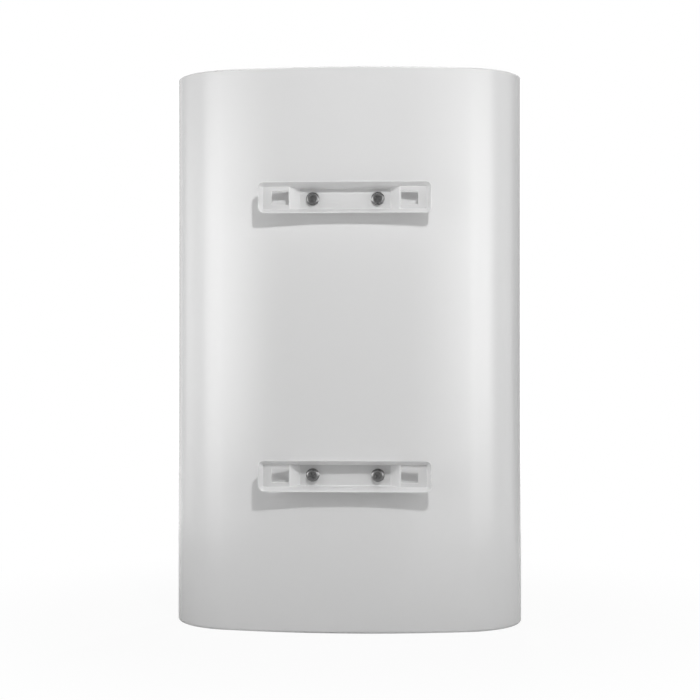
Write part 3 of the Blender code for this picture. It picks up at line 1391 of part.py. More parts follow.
def make_button(name, x, joint, surface):
    """A round button with a shoulder behind the bezel and a stem that reaches its switch."""
    face = front_y(x) - BEZEL_PROUD - BUTTON_PROUD
    shoulder = front_y(abs(x) + BUTTON_RADIUS + BUTTON_SHOULDER) + BEZEL_WALL - BEZEL_PROUD + FIT_GAP
    back = shoulder + BUTTON_SHOULDER_THICKNESS
    stem_tip = BOARD_Y - FIT_GAP - SWITCH_HEIGHT - FIT_GAP - BUTTON_TRAVEL
    profile = [
        (0.0, face),
        (BUTTON_RADIUS - BUTTON_ROUND, face),
        (BUTTON_RADIUS, face + BUTTON_ROUND),
        (BUTTON_RADIUS, shoulder),
        (BUTTON_RADIUS + BUTTON_SHOULDER, shoulder),
        (BUTTON_RADIUS + BUTTON_SHOULDER, back),
        (BUTTON_STEM, back),
        (BUTTON_STEM, stem_tip),
        (0.0, stem_tip),
    ]
    joint.location = (x, face, PANEL_Z)
    made = lay_along_y(turned(profile, TANK_STEPS), x, PANEL_Z)
    finish(made, name, joint, surface, joint.location)


def make_lens(parent, surface):
    """The indicator's light guide from the bezel's face to the board."""
    face = front_y(LENS_X) - BEZEL_PROUD - DISPLAY_PROUD
    guide = rod(LENS_RADIUS, face, BOARD_Y - FIT_GAP, TUBE_STEPS)
    finish(lay_along_y(guide, LENS_X, PANEL_Z + LENS_Z_OFFSET), "indicator_lens", parent, surface)


def main():
    for old in list(bpy.data.objects):
        bpy.data.objects.remove(old, do_unlink=True)
    heater = empty("heater", None, (0.0, BODY_Y, 0.0))
    white_paint = material("white_paint", (0.80, 0.80, 0.80), 0.22)
    white_plastic = material("white_plastic", (0.78, 0.78, 0.78), 0.4)
    bracket_plastic = material("bracket_plastic", (0.82, 0.82, 0.82), 0.38)
    grey_plastic = material("grey_plastic", (0.45, 0.45, 0.46), 0.45)
    black_plastic = material("black_plastic", (0.03, 0.03, 0.032), 0.35)
    display_black = material("display_black", (0.01, 0.01, 0.012), 0.08)
    zinc = material("zinc_plated_steel", (0.62, 0.62, 0.62), 0.28, 1.0)
    chrome = material("chrome", (0.75, 0.75, 0.76), 0.12, 1.0)
    steel = material("bare_steel", (0.5, 0.5, 0.51), 0.35, 1.0)
    enamel = material("blue_enamel", (0.05, 0.09, 0.16), 0.3)
    copper = material("copper", (0.72, 0.38, 0.24), 0.3, 1.0)
    brass = material("brass", (0.7, 0.55, 0.28), 0.3, 1.0)
    rubber = material("black_rubber", (0.02, 0.02, 0.02), 0.7)
    magnesium = material("magnesium", (0.45, 0.45, 0.43), 0.6, 1.0)
    foam_yellow = material("foam_yellow", (0.72, 0.60, 0.34), 0.9)
    blue = material("blue_plastic", (0.03, 0.12, 0.55), 0.4)
    red = material("red_plastic", (0.55, 0.03, 0.02), 0.4)
    green = material("board_green", (0.02, 0.16, 0.07), 0.4)
    lens = material("lens_orange", (0.8, 0.25, 0.05), 0.15)
    lead = material("lead_sheath", (0.05, 0.05, 0.05), 0.5)

    envelope = finish(
        all_round([(-FIT_GAP, -OVERRUN), (-FIT_GAP, CASE_HEIGHT + OVERRUN)]), "casing_envelope", heater
    )
    make_casing(heater, white_paint)
    make_side_strips(heater, grey_plastic)
    make_top_cover(heater, white_plastic)
    make_bottom_cover(heater, white_plastic)
    make_cover_screws(heater, zinc)
    for level, z in bracket_levels().items():
        make_bracket(level, z, heater, bracket_plastic, envelope)
    make_bolts(heater, zinc)
    transfer_way, spaces = make_tanks(heater, enamel, copper)
    make_pipes(heater, steel, blue, red, white_plastic)
    make_gland(heater, black_plastic)
    make_hangers(heater, steel, spaces)
    make_foam(heater, foam_yellow, spaces, transfer_way)
    make_plugs(heater, brass, rubber, copper, magnesium, steel, copper)
    make_cutout(heater, empty("reset_button_axis", heater), black_plastic, red)
    terminal_top = make_terminal_block(heater, white_plastic)
    make_leads(heater, lead, terminal_top)
    make_bezel(heater, black_plastic)
    make_display(heater, display_black, black_plastic)
    make_board(heater, green, black_plastic)
    make_knob(empty("knob_axis", heater), chrome, steel)
    make_button("power_button", POWER_X, empty("power_button_axis", heater), chrome)
    make_button("mode_button", MODE_X, empty("mode_button_axis", heater), chrome)
    make_lens(heater, lens)


main()
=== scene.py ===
import math

import bmesh
import bpy
from mathutils import Matrix, Vector


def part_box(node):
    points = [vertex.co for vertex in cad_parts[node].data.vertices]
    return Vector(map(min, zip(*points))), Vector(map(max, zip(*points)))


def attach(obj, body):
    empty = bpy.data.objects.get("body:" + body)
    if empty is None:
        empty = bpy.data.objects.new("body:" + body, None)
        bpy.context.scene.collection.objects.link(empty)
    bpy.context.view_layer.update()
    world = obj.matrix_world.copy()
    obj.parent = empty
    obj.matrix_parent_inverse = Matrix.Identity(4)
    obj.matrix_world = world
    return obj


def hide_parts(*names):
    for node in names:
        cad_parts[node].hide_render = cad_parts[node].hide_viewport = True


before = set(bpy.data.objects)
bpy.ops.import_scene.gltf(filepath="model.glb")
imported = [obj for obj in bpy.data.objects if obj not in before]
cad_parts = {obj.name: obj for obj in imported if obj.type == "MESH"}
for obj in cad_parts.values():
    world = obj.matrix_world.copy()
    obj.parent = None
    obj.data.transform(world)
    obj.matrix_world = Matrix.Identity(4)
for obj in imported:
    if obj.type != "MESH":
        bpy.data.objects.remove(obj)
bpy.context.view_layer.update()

bl_info = {
    "name": "Storage water heater",
    "version": (1, 0, 0),
    "blender": (4, 5, 0),
    "location": "3D View > Sidebar > Heater",
    "description": "Dresses the packed wall-hung water heater and lights it",
    "category": "Object",
}

FULL_TURN = 2 * math.pi
SHARP = math.radians(30.0)
ORIGIN = Vector((0.0, 0.0, 0.0))
ALONG_Y = Vector((0.0, 1.0, 0.0))
UP = Vector((0.0, 0.0, 1.0))

# Facets of the visible pieces
SIDE_STEPS = 40
CROWN_STEPS = 96
PANEL_STEPS = 48
DISPLAY_STEPS = 24
CORNER_STEPS = 10
ROUND_STEPS = 6
EDGE_STEPS = 4
TURN_STEPS = 64
FINE_STEPS = 32

# WELD joins points, CLEAR and RUN are gaps, PAST is how far a cut overshoots, INK is the height of prints
WELD = 0.00001
CLEAR = 0.0003
RUN = 0.0005
PAST = 0.003
INK = 0.00006

# The frame's Y at the middle of the casing's depth, about which every piece is modelled
MID_Y = (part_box("front_casing")[0].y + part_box("rear_casing")[1].y) / 2

WHITE = (1.0, 1.0, 1.0, 1.0)

# Sideways part of a reflection's direction over which the surroundings turn white, to the left and to the right
WHITE_BEHIND = ((0.42, 0.70), (0.20, 0.36))
WHITE_AHEAD = ((0.44, 0.64), (0.82, 0.97))


def middle(node):
    """Middle of a CAD node's box."""
    low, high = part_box(node)
    return (low + high) / 2


def length(name, text, default):
    """A length that a user may change."""
    return bpy.props.FloatProperty(name=name, description=text, default=default, unit="LENGTH", precision=5)


def angle(name, text, degrees):
    """An angle that a user may change."""
    return bpy.props.FloatProperty(
        name=name, description=text, default=math.radians(degrees), subtype="ANGLE", unit="ROTATION"
    )


def number(name, text, default):
    """A plain number that a user may change."""
    return bpy.props.FloatProperty(name=name, description=text, default=default, precision=4, subtype="NONE")


def colour(name, text, default):
    """A colour that a user may change."""
    return bpy.props.FloatVectorProperty(
        name=name, description=text, default=default, size=3, min=0.0, max=1.0, subtype="COLOR"
    )


def vector(name, text, default):
    """A place or a direction that a user may change."""
    return bpy.props.FloatVectorProperty(name=name, description=text, default=default, subtype="XYZ")


class HeaterCasing(bpy.types.PropertyGroup):
    width: length("Width", "Across the two round sides", 0.434)
    depth: length("Depth", "From the front crown to the rear crown", 0.205)
    height: length("Height", "From the bottom rim to the top rim", 0.684)
    side_radius: length("Side radius", "Radius of the round sides", 0.088)
    sheet: length("Sheet", "Thickness of the shells' steel", 0.0012)
    top_round: length("Top round", "Radius of the top rim's outer edge", 0.0025)
    bottom_round: length("Bottom round", "Radius of the bottom rim's outer edge", 0.0035)
    rim_land: length("Rim land", "Flat width of each rim", 0.002)
    rim_recess: length("Rim recess", "How far the ledges lie behind the rims", 0.004)
    ledge: length("Ledge", "Reach of the ledges that carry the covers", 0.012)
    seam: length("Seam", "Gap between the two shells at each side", 0.0024)


class HeaterCovers(bpy.types.PropertyGroup):
    plate: length("Plate", "Thickness of both covers", 0.0027)
    set_in: length("Set in", "How far the covers lie behind the rims", 0.001)
    skirt: length("Skirt", "Height of the skirt behind the ledge", 0.006)
    skirt_wall: length("Skirt wall", "Thickness of the skirt", 0.002)
    edge_round: length("Edge round", "Radius of the covers' edges", 0.0005)
    field_inset: length("Field inset", "Width of the top cover's raised border", 0.012)
    field_depth: length("Field depth", "Depth of the top cover's sunk field", 0.0006)
    recess_length: length("Recess length", "Pipe recess, along the heater's width", 0.190)
    recess_width: length("Recess width", "Pipe recess, along the heater's depth", 0.062)
    recess_depth: length("Recess depth", "How far the pipe recess goes up", 0.033)
    recess_wall: length("Recess wall", "Thickness of the recess's walls", 0.002)
    recess_corner: length("Recess corner", "Radius of the recess's corners", 0.008)
    roof_round: length("Roof round", "Radius where the recess's walls meet its roof", 0.0015)
    mouth_round: length("Mouth round", "Radius of the recess's lower edge", 0.0009)
    screw_sink: length("Screw sink", "Depth at which the cover screws' cones start", 0.0005)
    screw_head: length("Screw head", "Radius of the cover screws' heads", 0.0038)
    screw_shank: length("Screw shank", "Radius of the cover screws", 0.0019)
    screw_length: length("Screw length", "Length of the cover screws", 0.012)


class HeaterBrackets(bpy.types.PropertyGroup):
    length: length("Length", "Along the heater's width", 0.207)
    height: length("Height", "From the lower to the upper rim edge", 0.038)
    depth: length("Depth", "From the casing's crown to the rim", 0.025)
    corner: length("Corner", "Radius of the outer corners", 0.007)
    rim: length("Rim", "Width of the rim round the tray", 0.001)
    flare: angle("Flare", "Slope of the tray's inner walls above the hook floor", 25.0)
    back_flare: angle("Back flare", "Slope of the same walls' backs", 20.0)
    floor: length("Floor", "Thickness of the tray's floor", 0.003)
    draft: angle("Draft", "Slope of the walls below the hook floor", 5.0)
    hook_depth: length("Hook depth", "Depth of the shallow ends with the hook slots", 0.009)
    ramp_foot: length("Ramp foot", "Where each ramp meets the deep floor", 0.0548)
    ramp_run: length("Ramp run", "Length of each ramp along the tray", 0.011)
    hook_x: length("Hook place", "Middle of each hook slot", 0.0774)
    hook_width: length("Hook width", "Hook slot, along the tray", 0.0205)
    hook_height: length("Hook height", "Hook slot, across the tray", 0.0165)
    slot_corner: length("Slot corner", "Radius of the hook slots' corners", 0.0007)
    slot_round: length("Slot round", "Radius of the hook slots' front edges", 0.0003)
    rim_round: length("Rim round", "Radius of the rim's two edges", 0.0004)
    fillet: length("Fillet", "Radius where the floor meets the walls", 0.0009)


class HeaterBolts(bpy.types.PropertyGroup):
    radius: length("Radius", "Radius of the screws' shanks", 0.004)
    length: length("Length", "Length of the shanks below the flange", 0.030)
    flange_radius: length("Flange radius", "Radius of the flange under each head", 0.0080)
    flange: length("Flange", "Thickness of the flange", 0.0015)
    across_flats: length("Across flats", "Width of the hexagon", 0.0125)
    head: length("Head", "Height of the head with its flange", 0.0078)
    cross_length: length("Cross length", "Length of the cross recess", 0.0075)
    cross_width: length("Cross width", "Width of the cross recess's bars", 0.0016)
    cross_depth: length("Cross depth", "Depth of the cross recess", 0.003)
    crown: length("Crown", "Height of the turned chamfer on the hexagon's corners", 0.0011)
    dish: length("Dish", "Depth of the hollow in the head", 0.0005)
    dish_floor: length("Dish floor", "Radius of the hollow's floor", 0.0036)
    dish_mouth: length("Dish mouth", "Radius of the hollow above the head's face", 0.0044)
    turn_upper_left: angle("Turn, upper left", "Angle at which the upper left screw stopped", 28.0)
    turn_upper_right: angle("Turn, upper right", "Angle at which the upper right screw stopped", -12.0)
    turn_lower_left: angle("Turn, lower left", "Angle at which the lower left screw stopped", 41.0)
    turn_lower_right: angle("Turn, lower right", "Angle at which the lower right screw stopped", 9.0)


class HeaterPipes(bpy.types.PropertyGroup):
    radius: length("Radius", "Outer radius of the pipe thread", 0.0105)
    bore: length("Bore", "Inner radius of the pipes", 0.0075)
    foot: length("Foot", "Height of the pipes' open ends", 0.006)
    chamfer: length("Chamfer", "Chamfer at the open ends", 0.001)
    pitch: length("Pitch", "Distance from thread to thread", 0.001814)
    thread: length("Thread depth", "Height of the thread", 0.00116)
    thread_end: length("Thread end", "Height at which the thread stops", 0.0285)
    riser_foot: length("Riser foot", "Height at which the hot outlet's thin riser starts", 0.142)
    riser_radius: length("Riser radius", "Outer radius of the riser", 0.0065)
    riser_bore: length("Riser bore", "Inner radius of the riser", 0.005)
    riser_cone: length("Riser cone", "Height of the cones between pipe and riser", 0.004)
    ring_radius: length("Ring radius", "Radius of the coloured rings", 0.016)
    ring: length("Ring height", "Height of the coloured rings", 0.0025)
    ring_round: length("Ring round", "Radius of the coloured rings' lower edge", 0.0006)
    ring_groove: length("Ring groove", "Depth of the two grooves in each ring", 0.0003)
    gland_radius: length("Gland radius", "Radius of the cable gland's flange", 0.0105)
    gland_neck: length("Gland neck", "Radius of the gland's neck in the cover", 0.0075)
    gland_bore: length("Gland bore", "Radius of the gland's bore", 0.0045)
    gland_flange: length("Gland flange", "Thickness of the gland's flange", 0.003)
    gland_length: length("Gland length", "Length of the whole gland", 0.016)


class HeaterPanel(bpy.types.PropertyGroup):
    length: length("Length", "Window for the panel, along the heater's width", 0.170)
    height: length("Height", "Window for the panel, upwards", 0.056)
    corner: length("Corner", "Radius of the window's corners", 0.009)
    proud: length("Proud", "How far the bezel stands on the shell", 0.0018)
    lip: length("Lip", "How far the bezel covers the shell round its window", 0.003)
    wall: length("Wall", "Thickness of the bezel's face", 0.003)
    side: length("Side", "Thickness of the bezel's side walls", 0.002)
    reach: length("Reach", "Depth of the bezel's side walls", 0.009)
    edge_round: length("Edge round", "Radius of the bezel's front edge", 0.0009)
    post: length("Post", "Radius of the posts that carry the board", 0.003)
    post_x: length("Post place, across", "Distance of the posts from the middle", 0.071)
    post_z: length("Post place, up", "Distance of the posts from the panel's middle height", 0.0185)
    display_x: length("Display place", "Middle of the display", -0.053)
    display_length: length("Display length", "Display window, across", 0.048)
    display_height: length("Display height", "Display window, upwards", 0.030)
    display_corner: length("Display corner", "Radius of the display's corners", 0.003)
    display_glass: length("Display glass", "Thickness of the display window", 0.0014)
    display_proud: length("Display proud", "How far the display window stands on the bezel", 0.0003)
    display_round: length("Display round", "Radius of the display window's front edge", 0.00025)
    display_ledge: length("Display ledge", "Width of the ledge that carries the display window", 0.003)
    digit_height: length("Digit height", "Height of the lit digits", 0.0135)
    digit_width: length("Digit width", "Width of each lit digit", 0.0075)
    digit_stroke: length("Digit stroke", "Width of the digits' bars", 0.0013)
    digit_gap: length("Digit gap", "Gap between the digits' bars", 0.0009)
    digit_rise: length("Digit rise", "Middle of the digits above the panel's", 0.0022)
    level_pitch: length("Level pitch", "Distance from level bar to level bar", 0.0052)
    level_drop: length("Level drop", "Level bars below the panel's middle", 0.0098)
    tick_gap: length("Tick gap", "From the knob's foot to the dial's marks", 0.0012)
    number_gap: length("Number gap", "From the knob's foot to the middle of the dial's numbers", 0.0064)
    number_height: length("Number height", "Type size of the dial's numbers", 0.0038)
    lens_radius: length("Lens radius", "Radius of the indicator", 0.002)


class HeaterControls(bpy.types.PropertyGroup):
    knob_radius: length("Knob radius", "At its foot", 0.021)
    knob_face: length("Knob face", "Radius of its face", 0.019)
    knob_stand: length("Knob stand", "From the crown to its face", 0.016)
    knob_round: length("Knob round", "Radius of its front edge", 0.002)
    knob_wall: length("Knob wall", "Thickness of its wall", 0.002)
    knob_hub: length("Knob hub", "Radius of its hub", 0.0055)
    shaft: length("Shaft", "Radius of the knob's shaft", 0.003)
    knob_dish: length("Knob dish", "Depth of the hollow in its face", 0.0006)
    flutes: bpy.props.IntProperty(name="Flutes", description="Grip grooves round the knob", default=30, min=6)
    flute_radius: length("Flute radius", "Radius of each grip groove", 0.0013)
    flute_length: length("Flute length", "Length of each grip groove", 0.0105)
    flute_rise: length("Flute rise", "From the knob's foot to the grip grooves' middle", 0.0082)
    mark_width: length("Mark width", "Width of the knob's pointer line", 0.0016)
    mark_length: length("Mark length", "Length of the knob's pointer line", 0.009)
    mark_depth: length("Mark depth", "Depth of the pointer's groove", 0.0006)
    button_radius: length("Button radius", "Radius of both buttons", 0.0078)
    button_round: length("Button round", "Radius of the buttons' edges", 0.0008)
    button_dish: length("Button dish", "Depth of the hollow in each button", 0.0004)
    shoulder: length("Shoulder", "How far the shoulder stands out behind the bezel", 0.001)
    shoulder_height: length("Shoulder height", "Thickness of that shoulder", 0.0012)
    stem: length("Stem", "Radius of the stems that reach the switches", 0.0025)
    sweep: angle("Sweep", "Range of the temperature knob", 270.0)


class HeaterFinishes(bpy.types.PropertyGroup):
    casing: colour("Casing", "Gloss paint of the two shells", (0.74, 0.74, 0.74))
    covers: colour("Covers", "Moulded covers", (0.76, 0.76, 0.76))
    brackets: colour("Brackets", "Moulded wall brackets", (0.82, 0.82, 0.82))
    strip: colour("Strips", "Joint strips at the sides", (0.36, 0.36, 0.37))
    # The zinc's dark tone is painted shade, standing in for dark surroundings in the screws' reflections
    zinc: colour("Zinc", "Plated screws", (0.24, 0.24, 0.24))
    chrome: colour("Chrome", "Knob and buttons", (0.72, 0.72, 0.73))
    panel: colour("Panel", "Gloss black bezel", (0.014, 0.014, 0.016))
    glow: colour("Glow", "Lit digits", (0.62, 0.86, 1.0))
    print: colour("Print", "Dial marks", (0.70, 0.70, 0.70))
    cold: colour("Cold", "Ring of the cold inlet", (0.02, 0.10, 0.50))
    hot: colour("Hot", "Ring of the hot outlet", (0.50, 0.02, 0.015))


class HeaterStudio(bpy.types.PropertyGroup):
    camera_place: vector("Camera", "Place of the camera", (-0.0874, 1.9709, 0.3464))
    camera_look: vector("Look", "Direction in which the camera looks", (0.0531, -0.9986, 0.0))
    lens: number("Lens", "Focal length in millimetres on a 36 mm sensor", 80.08)
    shift_x: number("Shift, across", "Framing of the image, in parts of its width", 0.021)
    shift_y: number("Shift, up", "Framing of the image, in parts of its width", -0.0053)
    key_place: vector("Key", "Place of the rear small lamp", (-0.213, 1.116, 0.965))
    key_aim: length("Key aim", "Height at which both small lamps are aimed", 0.36)
    key_size: length("Key size", "Side of each small lamp", 0.08)
    key_power: number("Key power", "Power of each small lamp, in watts", 6.6)
    strip_left: angle("Strip, left", "Direction of the left strip light, off the rear", 49.0)
    strip_right: angle("Strip, right", "Direction of the right strip light, off the rear", 50.0)
    strip_front: angle("Strips, front", "Direction of the front strip lights, off the front", 24.0)
    strip_distance: length("Strip distance", "From the heater's axis to each strip light", 1.0)
    strip_height: length("Strip height", "Middle of the strip lights above the floor", 0.47)
    strip_width: length("Strip width", "Width of the strip lights", 1.10)
    strip_length: length("Strip length", "Length of the strip lights", 1.20)
    left_power: number("Left power", "Power of the left strip light, in watts", 7.8)
    right_power: number("Right power", "Power of the right strip light, in watts", 6.4)
    side_power: number("Side power", "Power of the strip lights at the two sides, in watts", 3.3)
    top_height: length("Top height", "Height of the soft light above the heater", 1.75)
    top_size: length("Top size", "Side of the soft light above the heater", 0.90)
    top_power: number("Top power", "Power of the soft light above the heater, in watts", 5.0)
    front_power: number("Front power", "Power of each strip light in front, in watts", 3.4)
    fill: number("Fill", "Brightness of the surroundings on matt surfaces", 0.03)
    under: number("Light below", "Brightness of the floor as the matt underside sees it", 0.7)
    under_x: length("Light below, across", "Half the width of the bright patch of floor", 0.21)
    under_y: length("Light below, deep", "Half the depth of the bright patch of floor", 0.095)
    flag: number("Flags", "How dark the grey part of the reflected surroundings is", 0.55)
    floor_size: length("Floor size", "Half the side of the floor", 6.0)
    floor_gap: length("Floor gap", "How far the floor lies below the heater", 0.0006)


def arithmetic(operation, swapped=False):
    """A method for one of Python's operators, which adds a Math node."""

    def add_node(self, other=0.0):
        return self.math(operation, other, self) if swapped else self.math(operation, self, other)

    return add_node


class Wire:
    """A value in a node graph. Python's operators on it add Math nodes."""

    def __init__(self, graph, socket):
        self.graph = graph
        self.socket = socket

    def math(self, operation, first, second):
        return self.graph.node("ShaderNodeMath", {"operation": operation}, {0: first, 1: second})

    __add__ = __radd__ = arithmetic("ADD")
    __mul__ = __rmul__ = arithmetic("MULTIPLY")
    __sub__ = arithmetic("SUBTRACT")
    __rsub__ = __neg__ = arithmetic("SUBTRACT", True)
    __truediv__ = arithmetic("DIVIDE")
    __rtruediv__ = arithmetic("DIVIDE", True)
    __pow__ = arithmetic("POWER")
    __rpow__ = arithmetic("POWER", True)
    __abs__ = arithmetic("ABSOLUTE")


class Graph:
    """Adds and joins nodes in a node tree."""

    def __init__(self, tree):
        self.tree = tree

    def join(self, value, socket):
        if isinstance(value, Wire):
            self.tree.links.new(value.socket, socket)
        else:
            socket.default_value = value

    def node(self, kind, settings=None, values=None, output=0):
        """A node of a kind: its settings first, then its sockets' values or wires."""
        made = self.tree.nodes.new(kind)
        for name, value in (settings or {}).items():
            setattr(made, name, value)
        for socket, value in (values or {}).items():
            self.join(value, made.inputs[socket])
        return Wire(self, made.outputs[output])

    def place(self, centre=(0.0, 0.0, 0.0), stretch=(1.0, 1.0, 1.0), turn=(0.0, 0.0, 0.0)):
        """Object coordinates about centre, each axis divided by its stretch."""
        where = self.node("ShaderNodeTexCoord", output="Object")
        values = {"Vector": where, "Location": centre, "Scale": stretch, "Rotation": turn}
        return self.node("ShaderNodeMapping", {"vector_type": "TEXTURE"}, values)

    def noise(self, where, scale, detail=2.0, rough=0.5):
        values = {"Vector": where, "Scale": scale, "Detail": detail, "Roughness": rough}
        return self.node("ShaderNodeTexNoise", {}, values)

    def ray(self, kind):
        """1 for rays of a kind, else 0."""
        return self.node("ShaderNodeLightPath", output=f"Is {kind} Ray")

    def part(self, vector, axis):
        """One component of a vector."""
        return self.node("ShaderNodeSeparateXYZ", {}, {0: vector}, axis)

    def size(self, vector):
        """Length of a vector."""
        return self.node("ShaderNodeVectorMath", {"operation": "LENGTH"}, {0: vector}, "Value")

    def step(self, value, low, high):
        """0 below low, 1 above high, smooth between."""
        values = {"Value": value, "From Min": low, "From Max": high}
        return self.node("ShaderNodeMapRange", {"interpolation_type": "SMOOTHSTEP"}, values)

    def blend(self, factor, first, second):
        """Mixes two colours."""
        values = {0: factor, 6: (*first, 1.0), 7: (*second, 1.0)}
        return self.node("ShaderNodeMix", {"data_type": "RGBA"}, values, 2)

    def bump(self, height, distance, strength):
        return self.node("ShaderNodeBump", {}, {"Strength": strength, "Distance": distance, "Height": height})


class Finish(Graph):
    """A procedural material on the Principled shader."""

    def __init__(self, name, **constants):
        self.material = bpy.data.materials.new(name)
        self.material.use_nodes = True
        super().__init__(self.material.node_tree)
        self.shader = self.tree.nodes["Principled BSDF"]
        self.dress(**constants)

    def dress(self, **values):
        """Sets or joins the shader's sockets, named as base_color for Base Color, and gives the material."""
        for name, value in values.items():
            socket = name.replace("_", " ").title().replace("Ior", "IOR")
            self.join(value, self.shader.inputs[socket])
        return self.material


def shade(tone, factor):
    """A colour made darker or lighter by a factor."""
    return tuple(min(part * factor, 1.0) for part in tone)


def casing_paint(name, tones):
    """Gloss powder coat: slight orange peel, with broad changes of gloss."""
    paint = Finish(name, coat_roughness=0.07, coat_ior=1.7)
    where = paint.place()
    cloud = paint.noise(where, 5.0, 3.0)
    peel = paint.noise(where, 210.0, 2.0)
    grain = paint.noise(where, 1400.0, 1.0)
    return paint.dress(
        base_color=paint.blend(cloud, shade(tones.casing, 0.985), tones.casing),
        roughness=0.10 + 0.05 * cloud + 0.03 * grain,
        coat_weight=0.85 + 0.1 * cloud,
        normal=paint.bump(peel + 0.15 * grain, 0.000012, 0.6),
    )


def moulded(name, tone, rough, texture, depth):
    """Moulded plastic: a fine eroded texture, with slight changes of gloss from the flow of the melt."""
    plastic = Finish(name)
    where = plastic.place()
    flow = plastic.noise(plastic.place(stretch=(1.0, 1.0, 0.35)), 22.0, 3.0)
    grain = plastic.noise(where, texture, 2.0, 0.6)
    speck = plastic.step(plastic.noise(where, 900.0, 1.0), 0.72, 0.80)
    return plastic.dress(
        base_color=plastic.blend(flow, shade(tone, 0.975), tone),
        roughness=rough + 0.07 * flow + 0.05 * grain - 0.08 * speck,
        normal=plastic.bump(grain + 0.2 * flow, depth, 0.8),
    )


def cover_plastic(name, tones):
    """The covers' matt white."""
    return moulded(name, tones.covers, rough=0.42, texture=2200.0, depth=0.00003)


def bracket_white(name, tones):
    """The brackets' white: smooth on the walls, eroded and rougher on the flat floors, which are also painted darker as
    painted shade.
    """
    plastic = Finish(name)
    where = plastic.place()
    flow = plastic.noise(plastic.place(stretch=(0.35, 1.0, 1.0)), 22.0, 3.0)
    grain = plastic.noise(where, 1500.0, 2.0, 0.6)
    facing = plastic.node("ShaderNodeNewGeometry", output="Normal")
    flat = plastic.step(abs(plastic.part(facing, "Y")), 0.95, 0.99)
    # Painted shade: the flat floors, which face along Y, are painted up to about a quarter darker; on the walls the
    # flow adds a slight random darkening
    floor_shade_and_flow = flat * (0.85 + 0.15 * grain) + (1.0 - flat) * 0.12 * flow
    return plastic.dress(
        base_color=plastic.blend(floor_shade_and_flow, tones.brackets, shade(tones.brackets, 0.77)),
        roughness=0.36 + 0.07 * flow + 0.12 * flat,
        normal=plastic.bump((0.4 + flat) * grain + 0.2 * flow, 0.000015, 0.8),
    )


def strip_plastic(name, tones):
    """The joint strips' grey."""
    return moulded(name, tones.strip, rough=0.45, texture=1900.0, depth=0.00002)


def terminal_plastic(name, tones):
    """Natural polyamide of the terminal block and the diffuser."""
    return moulded(name, (0.70, 0.68, 0.62), rough=0.38, texture=1600.0, depth=0.00002)


def dark_plastic(name, tones):
    """Black polyamide of switches, cut-out and display module."""
    return moulded(name, (0.022, 0.022, 0.024), rough=0.42, texture=1700.0, depth=0.00002)


def cold_plastic(name, tones):
    """Blue of the cold inlet's ring."""
    return moulded(name, tones.cold, rough=0.32, texture=1500.0, depth=0.000015)


def hot_plastic(name, tones):
    """Red of the hot outlet's ring and the reset button."""
    return moulded(name, tones.hot, rough=0.32, texture=1500.0, depth=0.000015)


def panel_black(name, tones):
    """Gloss black moulding with fine dust and faint wiping marks."""
    gloss = Finish(name, coat_roughness=0.04)
    where = gloss.place()
    wipe = gloss.noise(gloss.place(stretch=(0.35, 1.0, 1.0), turn=(0.0, 0.4, 0.0)), 60.0, 3.0)
    dust = gloss.step(gloss.noise(where, 1600.0, 1.0), 0.74, 0.82)
    return gloss.dress(
        base_color=gloss.blend(dust, tones.panel, shade(tones.panel, 2.2)),
        roughness=0.13 + 0.08 * wipe + 0.2 * dust,
        coat_weight=0.5 - 0.3 * wipe,
        normal=gloss.bump(wipe + dust, 0.000004, 0.5),
    )


def display_glass(name, tones):
    """Smoked display window, almost smooth."""
    glass = Finish(name)
    where = glass.place()
    smear = glass.noise(where, 90.0, 3.0, 0.6)
    return glass.dress(
        base_color=glass.blend(smear, (0.004, 0.004, 0.005), (0.008, 0.008, 0.010)),
        roughness=0.04 + 0.06 * smear,
        normal=glass.bump(smear, 0.000002, 0.4),
    )


def digit_glow(name, tones):
    """Lit digits behind the smoked window, brighter in some patches than in others."""
    glow = Finish(name, roughness=0.3, emission_strength=1.6)
    patch = glow.noise(glow.place(), 420.0, 1.0)
    return glow.dress(
        base_color=glow.blend(patch, shade(tones.glow, 0.2), shade(tones.glow, 0.26)),
        emission_color=glow.blend(patch, shade(tones.glow, 0.72), tones.glow),
    )


def dial_print(name, tones):
    """Pale ink of the dial, thin in places."""
    ink = Finish(name)
    thin = ink.noise(ink.place(), 2600.0, 2.0, 0.6)
    return ink.dress(
        base_color=ink.blend(ink.step(thin, 0.25, 0.4), shade(tones.print, 0.75), tones.print),
        roughness=0.42 + 0.15 * thin,
        normal=ink.bump(thin, 0.000004, 0.5),
    )


def lens_amber(name, tones):
    """Indicator lens with a brighter core."""
    lens = Finish(name, coat_weight=0.6, emission_strength=0.35)
    where = lens.place(middle("indicator_lens"))
    far = lens.size(where)
    core = 1.0 - lens.step(far, 0.0, 0.0022)
    return lens.dress(
        base_color=lens.blend(core, (0.50, 0.10, 0.01), (0.85, 0.30, 0.05)),
        emission_color=lens.blend(core, (0.35, 0.05, 0.0), (1.0, 0.42, 0.08)),
        roughness=0.08 + 0.1 * lens.noise(where, 700.0, 2.0),
    )


def metal(name, tone, rough, clouds, texture, depth, stretch=(1.0, 1.0, 1.0), stain=0.12):
    """Metal with cloudy gloss and a fine grain, which stretch draws out along an axis."""
    made = Finish(name, metallic=1.0)
    cloud = made.noise(made.place(), clouds, 3.0, 0.6)
    grain = made.noise(made.place(stretch=stretch), texture, 3.0, 0.6)
    return made.dress(
        base_color=made.blend(cloud, shade(tone, 1.0 - stain), tone),
        roughness=rough + 0.12 * cloud + 0.08 * grain,
        normal=made.bump(grain, depth, 0.7),
    )


def zinc_plate(name, tones):
    """Zinc on the screws, in a dark tone that stands in for the dark surroundings they reflect: painted shade."""
    return metal(name, tones.zinc, rough=0.10, clouds=320.0, texture=1500.0, depth=0.00001)


def rolled_steel(name, tones):
    """Rolled steel of frames and shaft."""
    return metal(
        name, (0.46, 0.46, 0.47), rough=0.30, clouds=40.0, texture=900.0, depth=0.00002, stretch=(0.08, 1.0, 1.0)
    )


